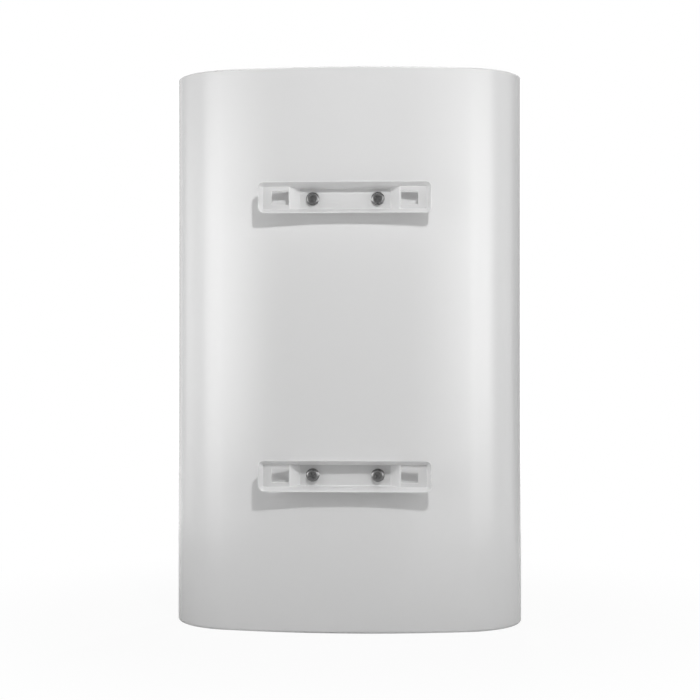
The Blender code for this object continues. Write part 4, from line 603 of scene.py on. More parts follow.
def pipe_steel(name, tones):
    """Stainless steel of the pipes, drawn along their length."""
    return metal(
        name, (0.58, 0.57, 0.55), rough=0.20, clouds=90.0, texture=1400.0, depth=0.000012, stretch=(1.0, 1.0, 0.04)
    )


def copper_sheath(name, tones):
    """Copper of elements and transfer pipe, tarnished in clouds."""
    return metal(
        name, (0.78, 0.40, 0.25), rough=0.26, clouds=130.0, texture=1100.0, depth=0.00001,
        stretch=(1.0, 1.0, 0.1), stain=0.35,
    )


def brass_turned(name, tones):
    """Brass of the element plugs."""
    return metal(
        name, (0.74, 0.57, 0.28), rough=0.24, clouds=110.0, texture=1300.0, depth=0.00001,
        stretch=(1.0, 1.0, 0.05), stain=0.2,
    )


def magnesium_rod(name, tones):
    """Dull cast magnesium of the anodes."""
    return metal(name, (0.42, 0.42, 0.40), rough=0.50, clouds=160.0, texture=700.0, depth=0.00008, stain=0.3)


def tank_enamel(name, tones):
    """Dark blue glass enamel on the tanks, with pits and speckles."""
    enamel = Finish(name, coat_roughness=0.1)
    where = enamel.place()
    speck = enamel.step(enamel.noise(where, 520.0, 1.0), 0.62, 0.70)
    wave = enamel.noise(where, 70.0, 2.0)
    return enamel.dress(
        base_color=enamel.blend(speck, (0.03, 0.06, 0.12), (0.10, 0.15, 0.24)),
        roughness=0.22 + 0.12 * wave,
        coat_weight=0.4 - 0.2 * speck,
        normal=enamel.bump(wave + 0.3 * speck, 0.00006, 0.6),
    )


def poured_foam(name, tones):
    """Yellow polyurethane foam with cells and darker skin."""
    foam = Finish(name)
    where = foam.place()
    cells = foam.node("ShaderNodeTexVoronoi", {}, {"Vector": where, "Scale": 700.0}, "Distance")
    skin = foam.noise(where, 14.0, 4.0)
    return foam.dress(
        base_color=foam.blend(skin, (0.60, 0.47, 0.22), (0.78, 0.66, 0.38)),
        roughness=0.85 + 0.1 * cells,
        normal=foam.bump(cells + skin, 0.0004, 0.8),
    )


def circuit_board(name, tones):
    """Green solder mask over paler tracks."""
    board = Finish(name)
    where = board.place(middle("control_board"))
    along = board.part(where, "X")
    up = board.part(where, "Z")
    weave = board.noise(board.place(stretch=(0.15, 1.0, 1.0)), 260.0, 1.0)
    lanes = abs(board.node("ShaderNodeMath", {"operation": "SINE"}, {0: up * 2200.0 + weave * 5.0}))
    tracks = board.step(lanes, 0.80, 0.88) * board.step(board.noise(where, 55.0, 1.0), 0.45, 0.5)
    edge = board.step(abs(along), 0.0745, 0.0749)
    return board.dress(
        base_color=board.blend(tracks, (0.012, 0.11, 0.04), (0.03, 0.26, 0.10)),
        roughness=0.30 + 0.1 * weave + 0.3 * edge,
        normal=board.bump(tracks, 0.00003, 0.6),
    )


def seal_rubber(name, tones):
    """Black rubber of gaskets and gland, with a pale bloom."""
    rubber = Finish(name)
    where = rubber.place()
    bloom = rubber.noise(where, 130.0, 4.0, 0.65)
    grain = rubber.noise(where, 2400.0, 1.0)
    return rubber.dress(
        base_color=rubber.blend(bloom, (0.018, 0.018, 0.018), (0.042, 0.042, 0.041)),
        roughness=0.58 + 0.2 * bloom,
        normal=rubber.bump(grain + bloom, 0.00003, 0.7),
    )


def silicone_sheath(name, tones):
    """Silicone sheath of the leads held inside."""
    sheath = Finish(name)
    where = sheath.place()
    wear = sheath.noise(where, 180.0, 3.0)
    return sheath.dress(
        base_color=sheath.blend(wear, (0.030, 0.030, 0.032), (0.060, 0.060, 0.062)),
        roughness=0.45 + 0.15 * wear,
        normal=sheath.bump(sheath.noise(where, 1500.0, 1.0), 0.00002, 0.6),
    )


def turned_chrome(name, centre, tone):
    """Satin chrome with the fine rings of a lathe about the piece's own axis."""
    chrome = Finish(name, metallic=1.0)
    where = chrome.place(centre)
    flat = chrome.node("ShaderNodeVectorMath", {"operation": "MULTIPLY"}, {0: where, 1: (1.0, 0.0, 1.0)})
    far = chrome.size(flat)
    along = chrome.part(where, "Y")
    rings = chrome.node(
        "ShaderNodeTexNoise", {"noise_dimensions": "1D"}, {"W": far + along, "Scale": 5200.0, "Detail": 3.0}
    )
    haze = chrome.noise(where, 150.0, 3.0)
    return chrome.dress(
        base_color=chrome.blend(haze, shade(tone, 0.93), tone),
        roughness=0.15 + 0.08 * rings + 0.07 * haze,
        normal=chrome.bump(rings, 0.000005, 0.6),
    )


def knob_chrome(name, tones):
    """The knob's rings, about its own axis."""
    return turned_chrome(name, middle("temperature_knob"), tones.chrome)


def power_chrome(name, tones):
    """The left button's rings."""
    return turned_chrome(name, middle("power_button"), tones.chrome)


def mode_chrome(name, tones):
    """The right button's rings."""
    return turned_chrome(name, middle("mode_button"), tones.chrome)


def finish(maker):
    """The material that a maker gives, made once."""
    known = bpy.data.materials.get(maker.__name__)
    return known or maker(maker.__name__, bpy.context.scene.heater_finishes)


class Plan:
    """The casing's plan: two shallow crowns that run smoothly into two round sides."""

    def __init__(self):
        casing = bpy.context.scene.heater_casing
        self.half_depth = casing.depth / 2
        self.half_width = casing.width / 2
        self.side = casing.side_radius
        self.side_x = self.half_width - self.side
        self.crown = (self.half_depth**2 + self.side_x**2 - self.side**2) / (2 * (self.half_depth - self.side))
        self.crown_y = self.half_depth - self.crown
        self.crown_turn = math.atan2(self.side_x, -self.crown_y)

    def arcs(self, start=0.0):
        """The rear half from +X to -X as (centre, turn, steps), start past the mid-plane."""
        side_turn = math.pi / 2 - self.crown_turn - start
        return [
            (Vector((self.side_x, 0.0, 0.0)), side_turn, SIDE_STEPS),
            (Vector((0.0, self.crown_y, 0.0)), 2 * self.crown_turn, CROWN_STEPS),
            (Vector((-self.side_x, 0.0, 0.0)), side_turn, SIDE_STEPS),
        ]

    def reach(self, x, inset=0.0):
        """Distance from the mid-plane to the casing, set in by inset, at x."""
        if abs(x) <= (self.crown - inset) * math.sin(self.crown_turn):
            return self.crown_y + math.sqrt((self.crown - inset) ** 2 - x**2)
        return math.sqrt(max((self.side - inset) ** 2 - (abs(x) - self.side_x) ** 2, 0.0))


def chain(bm, points, closed=False):
    """Vertices joined by edges, in order."""
    verts = [bm.verts.new(point) for point in points]
    edges = [bm.edges.new(pair) for pair in zip(verts, verts[1:])]
    if closed:
        edges.append(bm.edges.new((verts[-1], verts[0])))
    return verts + edges


def quarter(centre, radius, start, steps=ROUND_STEPS, turn=-90.0):
    """Points of a round edge about centre, from the angle start on, in degrees."""
    points = []
    for i in range(steps + 1):
        at = math.radians(start + turn * i / steps)
        points.append((centre[0] + radius * math.cos(at), centre[1] + radius * math.sin(at)))
    return points


def seal(bm):
    """Merges doubles and turns the faces outwards."""
    bmesh.ops.remove_doubles(bm, verts=bm.verts, dist=WELD)
    bmesh.ops.recalc_face_normals(bm, faces=bm.faces)
    return bm


def turned(points, steps=TURN_STEPS, closed=False):
    """A profile of (radius, height) points turned about Z."""
    bm = bmesh.new()
    geometry = chain(bm, [(radius, 0.0, z) for radius, z in points], closed)
    bmesh.ops.spin(
        bm, geom=geometry, cent=ORIGIN, axis=UP, angle=FULL_TURN, steps=steps, use_merge=True, use_duplicate=False
    )
    return seal(bm)


def moved(bm, x=0.0, y=0.0, z=0.0):
    bmesh.ops.translate(bm, verts=bm.verts, vec=(x, y, z))
    return bm


def spun(bm, turn, centre=ORIGIN, axis="Z"):
    """Turns a shape about an axis through centre."""
    bmesh.ops.rotate(bm, verts=bm.verts, cent=centre, matrix=Matrix.Rotation(turn, 3, axis))
    return bm


def stood(bm, place):
    """Moves a shape made about Z to a place in the frame, at its own height."""
    return moved(bm, place.x, place.y - MID_Y)


def laid(bm, x, z):
    """Turns a shape made about Z so that its height runs along Y, through (x, z)."""
    turn = Matrix.Rotation(-math.pi / 2, 4, "X")
    bmesh.ops.transform(bm, matrix=Matrix.Translation((x, 0.0, z)) @ turn, verts=bm.verts)
    return bm


def rod(radius, low, high, steps=FINE_STEPS):
    """A cylinder about Z."""
    bm = bmesh.new()
    bmesh.ops.create_cone(bm, cap_ends=True, segments=steps, radius1=radius, radius2=radius, depth=high - low)
    return moved(bm, z=(low + high) / 2)


def block(low, high):
    """A block between two corners."""
    bm = bmesh.new()
    bmesh.ops.create_cube(bm, size=1.0)
    size = Vector(high) - Vector(low)
    place = (Vector(high) + Vector(low)) / 2
    bmesh.ops.transform(bm, matrix=Matrix.Translation(place) @ Matrix.Diagonal((*size, 1.0)), verts=bm.verts)
    return bm


def round_off(bm, edges, radius, segments=ROUND_STEPS):
    """Rounds these edges."""
    bmesh.ops.bevel(
        bm, geom=edges, offset=radius, offset_type="OFFSET", segments=segments, profile=0.5, affect="EDGES",
        material=-1, clamp_overlap=True,
    )
    return bm


def only_verts(geometry):
    """The vertices among these elements."""
    return [item for item in geometry if isinstance(item, bmesh.types.BMVert)]


def edges_along(bm, direction):
    """The edges that run in a direction."""
    return [e for e in bm.edges if abs((e.verts[1].co - e.verts[0].co).normalized().dot(direction)) > 0.9]


def sharp_edges(bm, test):
    """The sharp edges of which both ends pass a test on their place."""
    edges = [e for e in bm.edges if len(e.link_faces) == 2 and e.calc_face_angle(0.0) > SHARP]
    return [e for e in edges if all(test(vert.co) for vert in e.verts)]


def sweep(bm, geometry, arcs):
    """Sweeps geometry through arcs about Z, one after the other."""
    for centre, turn, steps in arcs:
        swept = bmesh.ops.spin(
            bm, geom=geometry, cent=centre, axis=UP, angle=turn, steps=steps, use_duplicate=False
        )
        geometry = swept["geom_last"]


def half_round(plan, section, start):
    """A closed section of (inset, height) points swept round the rear half."""
    bm = bmesh.new()
    face = bm.faces.new([bm.verts.new((plan.half_width - inset, 0.0, z)) for inset, z in section])
    spun(bm, start, (plan.side_x, 0.0, 0.0))
    sweep(bm, [*face.verts, *face.edges, face], plan.arcs(start))
    return seal(bm)


def all_round(plan, levels):
    """A solid of the casing's plan through (inset, height) points, from one flat cap to the other."""
    bm = bmesh.new()
    geometry = chain(bm, [(plan.half_width - inset, 0.0, z) for inset, z in levels])
    arcs = plan.arcs()
    sweep(bm, geometry, arcs + [(-centre, turn, steps) for centre, turn, steps in arcs])
    bmesh.ops.remove_doubles(bm, verts=bm.verts, dist=WELD)
    bmesh.ops.holes_fill(bm, edges=bm.edges)
    return seal(bm)


def crown_block(plan, at, size, outer, inner, corner, steps=PANEL_STEPS):
    """A block on the front crown: at is (x, z), size (length, height), between two insets, with round corners."""
    bm = bmesh.new()
    low = at[1] - size[1] / 2
    high = at[1] + size[1] / 2
    loop = ((outer, low), (inner, low), (inner, high), (outer, high))
    face = bm.faces.new([bm.verts.new((0.0, plan.crown_y + plan.crown - inset, z)) for inset, z in loop])
    half_turn = math.asin(size[0] / 2 / plan.crown)
    pivot = Vector((0.0, plan.crown_y, 0.0))
    spun(bm, -half_turn, pivot)
    sweep(bm, [*face.verts, *face.edges, face], [(pivot, 2 * half_turn, steps)])
    seal(bm)
    near_ends = max(abs(vert.co.x) for vert in bm.verts) * 0.985
    corners = [e for e in edges_along(bm, ALONG_Y) if min(abs(v.co.x) for v in e.verts) > near_ends]
    round_off(bm, corners, corner, CORNER_STEPS)
    spun(bm, math.asin(at[0] / plan.crown), pivot)
    return spun(bm, math.pi)


def round_face(plan, bm, inset, radius, segments=EDGE_STEPS):
    """Rounds the edge round the face of a crown block that lies at inset."""
    pivot = Vector((0.0, -plan.crown_y))
    level = plan.crown - inset
    edges = sharp_edges(bm, lambda co: abs((co.xy - pivot).length - level) < 2 * WELD)
    return round_off(bm, edges, radius, segments)


def add_shape(bm, shape):
    """Adds a shape to another one."""
    mesh = bpy.data.meshes.new("shape")
    shape.to_mesh(mesh)
    shape.free()
    bm.from_mesh(mesh)
    bpy.data.meshes.remove(mesh)


def helper(name, bm):
    """A closed solid as an object, for a Boolean."""
    bmesh.ops.recalc_face_normals(bm, faces=bm.faces)
    mesh = bpy.data.meshes.new(name)
    bm.to_mesh(mesh)
    bm.free()
    made = bpy.data.objects.new(name, mesh)
    bpy.context.scene.collection.objects.link(made)
    return made


def carve(bm, *steps):
    """Cuts, joins or trims bm with (operation, solid) steps, in order."""
    solid = helper("carved", bm)
    helpers = []
    for operation, tool in steps:
        cutter = helper("tool", tool)
        helpers.append(cutter)
        step = solid.modifiers.new("carve", "BOOLEAN")
        step.operation = operation
        step.solver = "EXACT"
        step.object = cutter
    bpy.context.view_layer.update()
    mesh = bpy.data.meshes.new_from_object(solid.evaluated_get(bpy.context.evaluated_depsgraph_get()))
    result = bmesh.new()
    result.from_mesh(mesh)
    bpy.data.meshes.remove(mesh)
    for old in [solid, *helpers]:
        mesh = old.data
        bpy.data.objects.remove(old)
        bpy.data.meshes.remove(mesh)
    if not result.faces or any(not edge.is_manifold for edge in result.edges):
        raise RuntimeError("a Boolean left no closed solid")
    return result


def add_piece(name, bm, maker, stands_for=(), body="heater", weighted=True):
    """Makes the finished piece: moved to the casing's place in the frame, shaded, and riding on its body."""
    bmesh.ops.recalc_face_normals(bm, faces=bm.faces)
    moved(bm, y=MID_Y)
    mesh = bpy.data.meshes.new(name)
    bm.to_mesh(mesh)
    bm.free()
    mesh.shade_smooth()
    mesh.set_sharp_from_angle(angle=SHARP)
    mesh.materials.append(finish(maker))
    piece = bpy.data.objects.new(name, mesh)
    bpy.context.scene.collection.objects.link(piece)
    if weighted:
        normals = piece.modifiers.new("normals", "WEIGHTED_NORMAL")
        normals.keep_sharp = True
    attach(piece, body)
    if stands_for:
        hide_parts(*stands_for)
    return piece


def cross_recess(size, width, low, high, turn):
    """The tool that cuts a cross recess: two tapered bars and a cone; low is its floor."""
    taper = 0.55
    bars = []
    for a, b, floor in ((size / 2, width / 2, low), (width / 2, size / 2, low + 3 * WELD)):
        bar = block((-a, -b, floor), (a, b, high))
        for vert in bar.verts:
            if vert.co.z < (low + high) / 2:
                vert.co.x *= taper
                vert.co.y *= taper
        bars.append(bar)
    mouth = high - 0.0001
    cone = spun(turned([(0.0, low - 0.25 * (high - low)), (width * 1.4, mouth), (0.0, mouth)], 20), 0.07)
    return spun(carve(bars[0], ("UNION", bars[1]), ("UNION", cone)), turn)


def bolt_places():
    """Middle of each bracket screw in the casing's frame, by node."""
    names = ("upper_left_bolt", "upper_right_bolt", "lower_left_bolt", "lower_right_bolt")
    return {name: middle(name) for name in names}


def cover_screw_places():
    """Middle of each cover screw in the casing's frame, by its place on the cover."""
    names = ("front_left", "front_right", "rear_left", "rear_right")
    return {name: middle(f"cover_screw_{name}") for name in names}


def shell_section(casing):
    """Section of a shell: wall, round rims with a flat land, and a ledge behind each rim."""
    low = casing.bottom_round
    top = casing.height - casing.top_round
    points = quarter((low, low), low, 270.0)
    points += quarter((casing.top_round, top), casing.top_round, 180.0)
    sheet = casing.sheet
    land = casing.top_round + casing.rim_land
    ledge = casing.height - casing.rim_recess
    points += [(land, casing.height), (land, ledge), (land + casing.ledge, ledge)]
    points += [(land + casing.ledge, ledge - sheet), (sheet, ledge - sheet)]
    land = low + casing.rim_land
    ledge = casing.rim_recess
    points += [(sheet, ledge + sheet), (land + casing.ledge, ledge + sheet)]
    points += [(land + casing.ledge, ledge), (land, ledge), (land, 0.0)]
    return points


class HEATER_OT_casings(bpy.types.Operator):
    """Rear and front shells with turned-in rims, holes for the screws and the window for the panel"""

    bl_idname = "heater.casings"
    bl_label = "Casings"

    def execute(self, context):
        casing = context.scene.heater_casing
        covers = context.scene.heater_covers
        panel = context.scene.heater_panel
        bolts = context.scene.heater_bolts
        plan = Plan()
        start = math.asin(casing.seam / 2 / plan.side)
        cuts = {"rear": [], "front": []}
        inwards = 0.02
        for place in bolt_places().values():
            hole = rod(bolts.radius + RUN, plan.half_depth - inwards, plan.half_depth + PAST)
            cuts["rear"].append(("DIFFERENCE", laid(hole, place.x, place.z)))
        for name, place in cover_screw_places().items():
            hole = rod(covers.screw_shank + CLEAR, 0.0, casing.rim_recess + casing.sheet + PAST)
            cuts[name.split("_")[0]].append(("DIFFERENCE", stood(hole, place)))
        at = (0.0, middle("control_bezel").z)
        window = crown_block(plan, at, (panel.length, panel.height), -PAST, casing.sheet + PAST, panel.corner)
        cuts["front"].append(("DIFFERENCE", window))
        for name, turn in (("rear", 0.0), ("front", math.pi)):
            shell = spun(half_round(plan, shell_section(casing), start), turn)
            add_piece(f"{name}_shell", carve(shell, *cuts[name]), casing_paint, [f"{name}_casing"])
        return {"FINISHED"}


class HEATER_OT_covers(bpy.types.Operator):
    """Top cover with a sunk field, and bottom cover with the pipe recess"""

    bl_idname = "heater.covers"
    bl_label = "Covers"

    def execute(self, context):
        casing = context.scene.heater_casing
        covers = context.scene.heater_covers
        plan = Plan()
        top = self.top(casing, covers, plan)
        bottom = self.bottom(casing, covers, context.scene.heater_pipes, plan)
        add_piece("top_lid", top, cover_plastic, ["top_cover"])
        add_piece("bottom_plate", bottom, cover_plastic, ["bottom_cover"])
        return {"FINISHED"}

    def top(self, casing, covers, plan):
        """The top cover: a plate with a sunk field and a skirt."""
        land = casing.top_round + casing.rim_land
        edge = land + CLEAR
        skirt = land + casing.ledge + CLEAR
        head = casing.height - covers.set_in
        foot = casing.height - casing.rim_recess + CLEAR
        skirt_foot = casing.height - casing.rim_recess - casing.sheet - covers.skirt
        field = edge + covers.field_inset
        soft = covers.edge_round
        levels = [(field + 3 * covers.field_depth, head - covers.field_depth), (field, head)]
        levels += quarter((edge + soft, head - soft), soft, 90.0, EDGE_STEPS, 90.0)
        inner = skirt + covers.skirt_wall
        levels += [(edge, foot), (skirt, foot), (skirt, skirt_foot), (inner, skirt_foot), (inner, head - covers.plate)]
        return all_round(plan, levels)

    def bottom(self, casing, covers, pipes, plan):
        """The bottom cover: a plate with a skirt, the pipe recess, and holes for pipes, gland and screws."""
        land = casing.bottom_round + casing.rim_land
        edge = land + CLEAR
        skirt = land + casing.ledge + CLEAR
        face = covers.set_in
        head = casing.rim_recess + casing.sheet + covers.skirt
        soft = covers.edge_round
        levels = quarter((edge + soft, face + soft), soft, 270.0, EDGE_STEPS)
        foot = casing.rim_recess - CLEAR
        inner = skirt + covers.skirt_wall
        levels += [(edge, foot), (skirt, foot), (skirt, head), (inner, head), (inner, face + covers.plate)]
        plate = all_round(plan, levels)
        roof = face + covers.recess_depth
        pipe_y = middle("cable_gland").y - MID_Y
        wall = self.recess(covers, pipe_y, covers.recess_wall, face, roof + covers.recess_wall)
        hollow = self.recess(covers, pipe_y, 0.0, face - PAST, roof)
        round_off(hollow, sharp_edges(hollow, lambda co: co.z > roof - WELD), covers.roof_round, EDGE_STEPS)
        steps = [("UNION", wall), ("DIFFERENCE", hollow)]
        holes = {
            "cold_inlet_pipe": pipes.radius + RUN,
            "hot_outlet_pipe": pipes.radius + RUN,
            "cable_gland": pipes.gland_neck + CLEAR,
        }
        for node, radius in holes.items():
            hole = rod(radius, roof - PAST, roof + covers.recess_wall + PAST, TURN_STEPS)
            steps.append(("DIFFERENCE", moved(hole, middle(node).x, pipe_y)))
        for place in cover_screw_places().values():
            sink = turned(cover_screw_profile(covers, CLEAR, face - PAST), FINE_STEPS)
            steps.append(("DIFFERENCE", stood(sink, place)))
        cover = carve(plate, *steps)
        half_x = covers.recess_length / 2 + WELD
        half_y = covers.recess_width / 2 + WELD

        def on_mouth(co):
            return abs(co.z - face) < WELD and abs(co.x) < half_x and abs(co.y - pipe_y) < half_y

        return round_off(cover, sharp_edges(cover, on_mouth), covers.mouth_round, EDGE_STEPS)

    def recess(self, covers, pipe_y, grow, low, high):
        """The pipe recess as a block with round corners, grown by grow."""
        a = covers.recess_length / 2 + grow
        b = covers.recess_width / 2 + grow
        made = block((-a, pipe_y - b, low), (a, pipe_y + b, high))
        return round_off(made, edges_along(made, UP), covers.recess_corner + grow, CORNER_STEPS)


def cover_screw_profile(covers, grow, low):
    """Profile of a countersunk cover screw, grown by grow, with its face at low."""
    neck = covers.screw_shank + grow
    head = covers.screw_head + grow
    shoulder = covers.set_in + covers.screw_sink
    tip = covers.set_in + covers.screw_length + grow
    cone = shoulder + covers.screw_head - covers.screw_shank
    return [(0.0, low), (head, low), (head, shoulder), (neck, cone), (neck, tip), (0.0, tip)]


class HEATER_OT_cover_screws(bpy.types.Operator):
    """Four countersunk screws with a cross recess"""

    bl_idname = "heater.cover_screws"
    bl_label = "Cover screws"

    def execute(self, context):
        covers = context.scene.heater_covers
        face = covers.set_in
        bevel = 0.0002
        cross_length = covers.screw_head * 1.15
        cross_width = 0.0009
        cross_floor = face + 0.0016
        cross_mouth = face - 0.0004
        first_turn = 0.3
        next_turn = 0.55
        for i, (name, place) in enumerate(cover_screw_places().items()):
            profile = cover_screw_profile(covers, 0.0, face)
            profile[1:2] = [(covers.screw_head - bevel, face), (covers.screw_head, face + bevel)]
            cross = cross_recess(cross_length, cross_width, cross_floor, cross_mouth, first_turn + next_turn * i)
            screw = stood(carve(turned(profile, FINE_STEPS), ("DIFFERENCE", cross)), place)
            add_piece(f"{name}_cover_screw", screw, zinc_plate, [f"cover_screw_{name}"])
        return {"FINISHED"}


class HEATER_OT_brackets(bpy.types.Operator):
    """Two moulded wall brackets: shallow ends with hook slots, ramps and a deep middle"""

    bl_idname = "heater.brackets"
    bl_label = "Wall brackets"

    def execute(self, context):
        for name in ("upper", "lower"):
            bracket = self.tray(context, middle(f"{name}_bracket").z)
            add_piece(f"{name}_wall_bracket", bracket, bracket_white, [f"{name}_bracket"])
        return {"FINISHED"}

    def tray(self, context, z):
        """A bracket at height z: a flared body, less the casing's curve, its pocket, hook slots and screw holes."""
        size = context.scene.heater_brackets
        bolts = context.scene.heater_bolts
        plan = Plan()
        rim_y = plan.half_depth + size.depth
        half = size.length / 2
        drop = size.depth - size.floor - size.hook_depth
        shift = size.floor * math.hypot(size.ramp_run, drop) / drop
        end_y = rim_y - size.hook_depth - size.floor
        foot_y = plan.half_depth - PAST
        ramp_top = size.ramp_foot + size.ramp_run
        foot_x = size.ramp_foot + shift - size.ramp_run * (end_y - foot_y - drop) / drop
        side = [(half, rim_y), (half, end_y), (ramp_top + shift, end_y), (foot_x, foot_y)]
        body = self.flared(size, side, size.height / 2, size.corner, rim_y, size.back_flare)
        round_off(body, sharp_edges(body, lambda co: co.y > rim_y - WELD), size.rim_round, EDGE_STEPS)
        past_ramp = ramp_top + shift + WELD
        under = sharp_edges(body, lambda co: abs(co.y - end_y) < WELD)
        under = [e for e in under if max(abs(v.co.x) for v in e.verts) > past_ramp]
        round_off(body, under, size.rim_round / 2, 2)
        casing = all_round(plan, [(-CLEAR, -z - PAST), (-CLEAR, context.scene.heater_casing.height - z)])
        steps = [("DIFFERENCE", casing), ("DIFFERENCE", self.pocket(size, rim_y))]
        for sign in (-1, 1):
            low = (sign * size.hook_x - size.hook_width / 2, end_y - PAST, -size.hook_height / 2)
            high = (sign * size.hook_x + size.hook_width / 2, rim_y, size.hook_height / 2)
            slot = block(low, high)
            steps.append(("DIFFERENCE", round_off(slot, edges_along(slot, ALONG_Y), size.slot_corner, 3)))
        for place in bolt_places().values():
            if abs(place.z - z) < size.height / 2:
                hole = rod(bolts.radius + RUN, foot_y - PAST, rim_y)
                steps.append(("DIFFERENCE", laid(hole, place.x, 0.0)))
        tray = carve(body, *steps)
        half_rim = size.rim / 2
        floor_y = rim_y - size.hook_depth
        near_x = size.hook_width / 2 + WELD
        near_z = size.hook_height / 2 + WELD

        def on_lip(co):
            return abs(co.y - rim_y) < WELD and abs(co.x) < half - half_rim and abs(co.z) < size.height / 2 - half_rim

        def on_slot(co):
            return abs(co.y - floor_y) < WELD and abs(abs(co.x) - size.hook_x) < near_x and abs(co.z) < near_z

        round_off(tray, sharp_edges(tray, on_lip), size.rim_round, EDGE_STEPS)
        round_off(tray, sharp_edges(tray, on_slot), size.slot_round, 2)
        return moved(tray, z=z)

    def drawn(self, side, height):
        """A side outline of (x, y) points, mirrored in X and drawn out along Z about 0."""
        bm = bmesh.new()
        outline = side + [(-x, y) for x, y in reversed(side)]
        face = bm.faces.new([bm.verts.new((x, y, -height / 2)) for x, y in outline])
        made = bmesh.ops.extrude_face_region(bm, geom=[face])
        bmesh.ops.translate(bm, verts=only_verts(made["geom"]), vec=(0.0, 0.0, height))
        return bm

    def flared(self, size, side, high, corner, rim_y, flare):
        """A drawn outline with round corners. Its walls lean in by the flare to the hook floor, then by the draft."""
        bm = self.drawn(side, 2 * high)
        half = max(x for x, _ in side)
        corners = [e for e in edges_along(bm, ALONG_Y) if min(abs(v.co.x) for v in e.verts) > half - WELD]
        round_off(bm, corners, corner, 8)
        everything = [*bm.verts, *bm.edges, *bm.faces]
        level = Vector((0.0, rim_y - size.hook_depth, 0.0))
        bmesh.ops.bisect_plane(bm, geom=everything, dist=WELD, plane_co=level, plane_no=ALONG_Y)
        for vert in bm.verts:
            depth = rim_y - vert.co.y
            inset = min(depth, size.hook_depth) * math.tan(flare)
            inset += max(depth - size.hook_depth, 0.0) * math.tan(size.draft)
            left = 1.0 - inset / corner
            for axis, centre in ((0, half - corner), (2, high - corner)):
                past = abs(vert.co[axis]) - centre
                if past > 0.0:
                    vert.co[axis] = math.copysign(centre + past * left, vert.co[axis])
        return bm

    def pocket(self, size, rim_y):
        """The tray's hollow: two shallow ends, ramps and a deep middle, with sloped walls and filleted floors."""
        half = size.length / 2 - size.rim
        floor_y = rim_y - size.hook_depth
        deep_y = rim_y - size.depth + size.floor
        ramp_top = size.ramp_foot + size.ramp_run
        side = [(half, rim_y + PAST), (half, floor_y), (ramp_top, floor_y), (size.ramp_foot, deep_y)]
        bm = self.flared(size, side, size.height / 2 - size.rim, size.corner - size.rim, rim_y, size.flare)
        return round_off(bm, sharp_edges(bm, lambda co: co.y < rim_y - WELD), size.fillet, EDGE_STEPS)


class HEATER_OT_bracket_bolts(bpy.types.Operator):
    """Four flanged hexagon screws with a cross recess, each stopped at its own turn"""

    bl_idname = "heater.bracket_bolts"
    bl_label = "Bracket screws"

    def execute(self, context):
        bolts = context.scene.heater_bolts
        brackets = context.scene.heater_brackets
        seat = Plan().half_depth + brackets.floor + CLEAR
        for node, place in bolt_places().items():
            name = node.removesuffix("_bolt")
            bolt = spun(self.screw(bolts, seat), getattr(bolts, f"turn_{name}"))
            laid(bolt, place.x, place.z)
            add_piece(f"{name}_flange_screw", bolt, zinc_plate, [node])
        return {"FINISHED"}

    def screw(self, bolts, seat):
        """A screw about Z: shank and flange turned, a chamfered hexagon on them, and its hollow and cross cut in."""
        top = seat + bolts.head
        flat = bolts.across_flats / 2
        overlap = 0.0002
        neck = seat + bolts.flange + overlap
        soft = bolts.flange / 3
        tip = seat - bolts.length
        bevel = 0.001
        corner_round = 0.00035
        cross_mouth = top + 0.0006
        cross_turn = 0.14
        profile = [(0.0, tip), (bolts.radius - bevel, tip), (bolts.radius, tip + bevel), (bolts.radius, seat)]
        profile += [(bolts.flange_radius - soft, seat)]
        profile += quarter((bolts.flange_radius - soft, seat + soft), soft, 270.0, ROUND_STEPS, 135.0)[1:]
        profile += [(flat + overlap, neck), (0.0, neck)]
        corner = bolts.across_flats / math.sqrt(3)
        prism = rod(corner, seat, top + PAST, 6)
        round_off(prism, edges_along(prism, UP), corner_round, 3)
        past = corner + PAST
        shoulder = [(past, seat + soft), (past, top - bolts.crown - PAST * 0.6)]
        face = [(flat - 0.0004, top - 0.00012), (flat - 0.0007, top)]
        envelope = turned([(0.0, seat + soft), *shoulder, *face, (0.0, top)])
        low = top - bolts.dish
        high = top + CLEAR
        dish = turned([(0.0, low), (bolts.dish_floor, low), (bolts.dish_mouth, high), (0.0, high)])
        head = carve(prism, ("INTERSECT", envelope))
        cross_floor = top - bolts.cross_depth
        cross = cross_recess(bolts.cross_length, bolts.cross_width, cross_floor, cross_mouth, cross_turn)
        return carve(turned(profile), ("UNION", head), ("DIFFERENCE", dish), ("DIFFERENCE", cross))


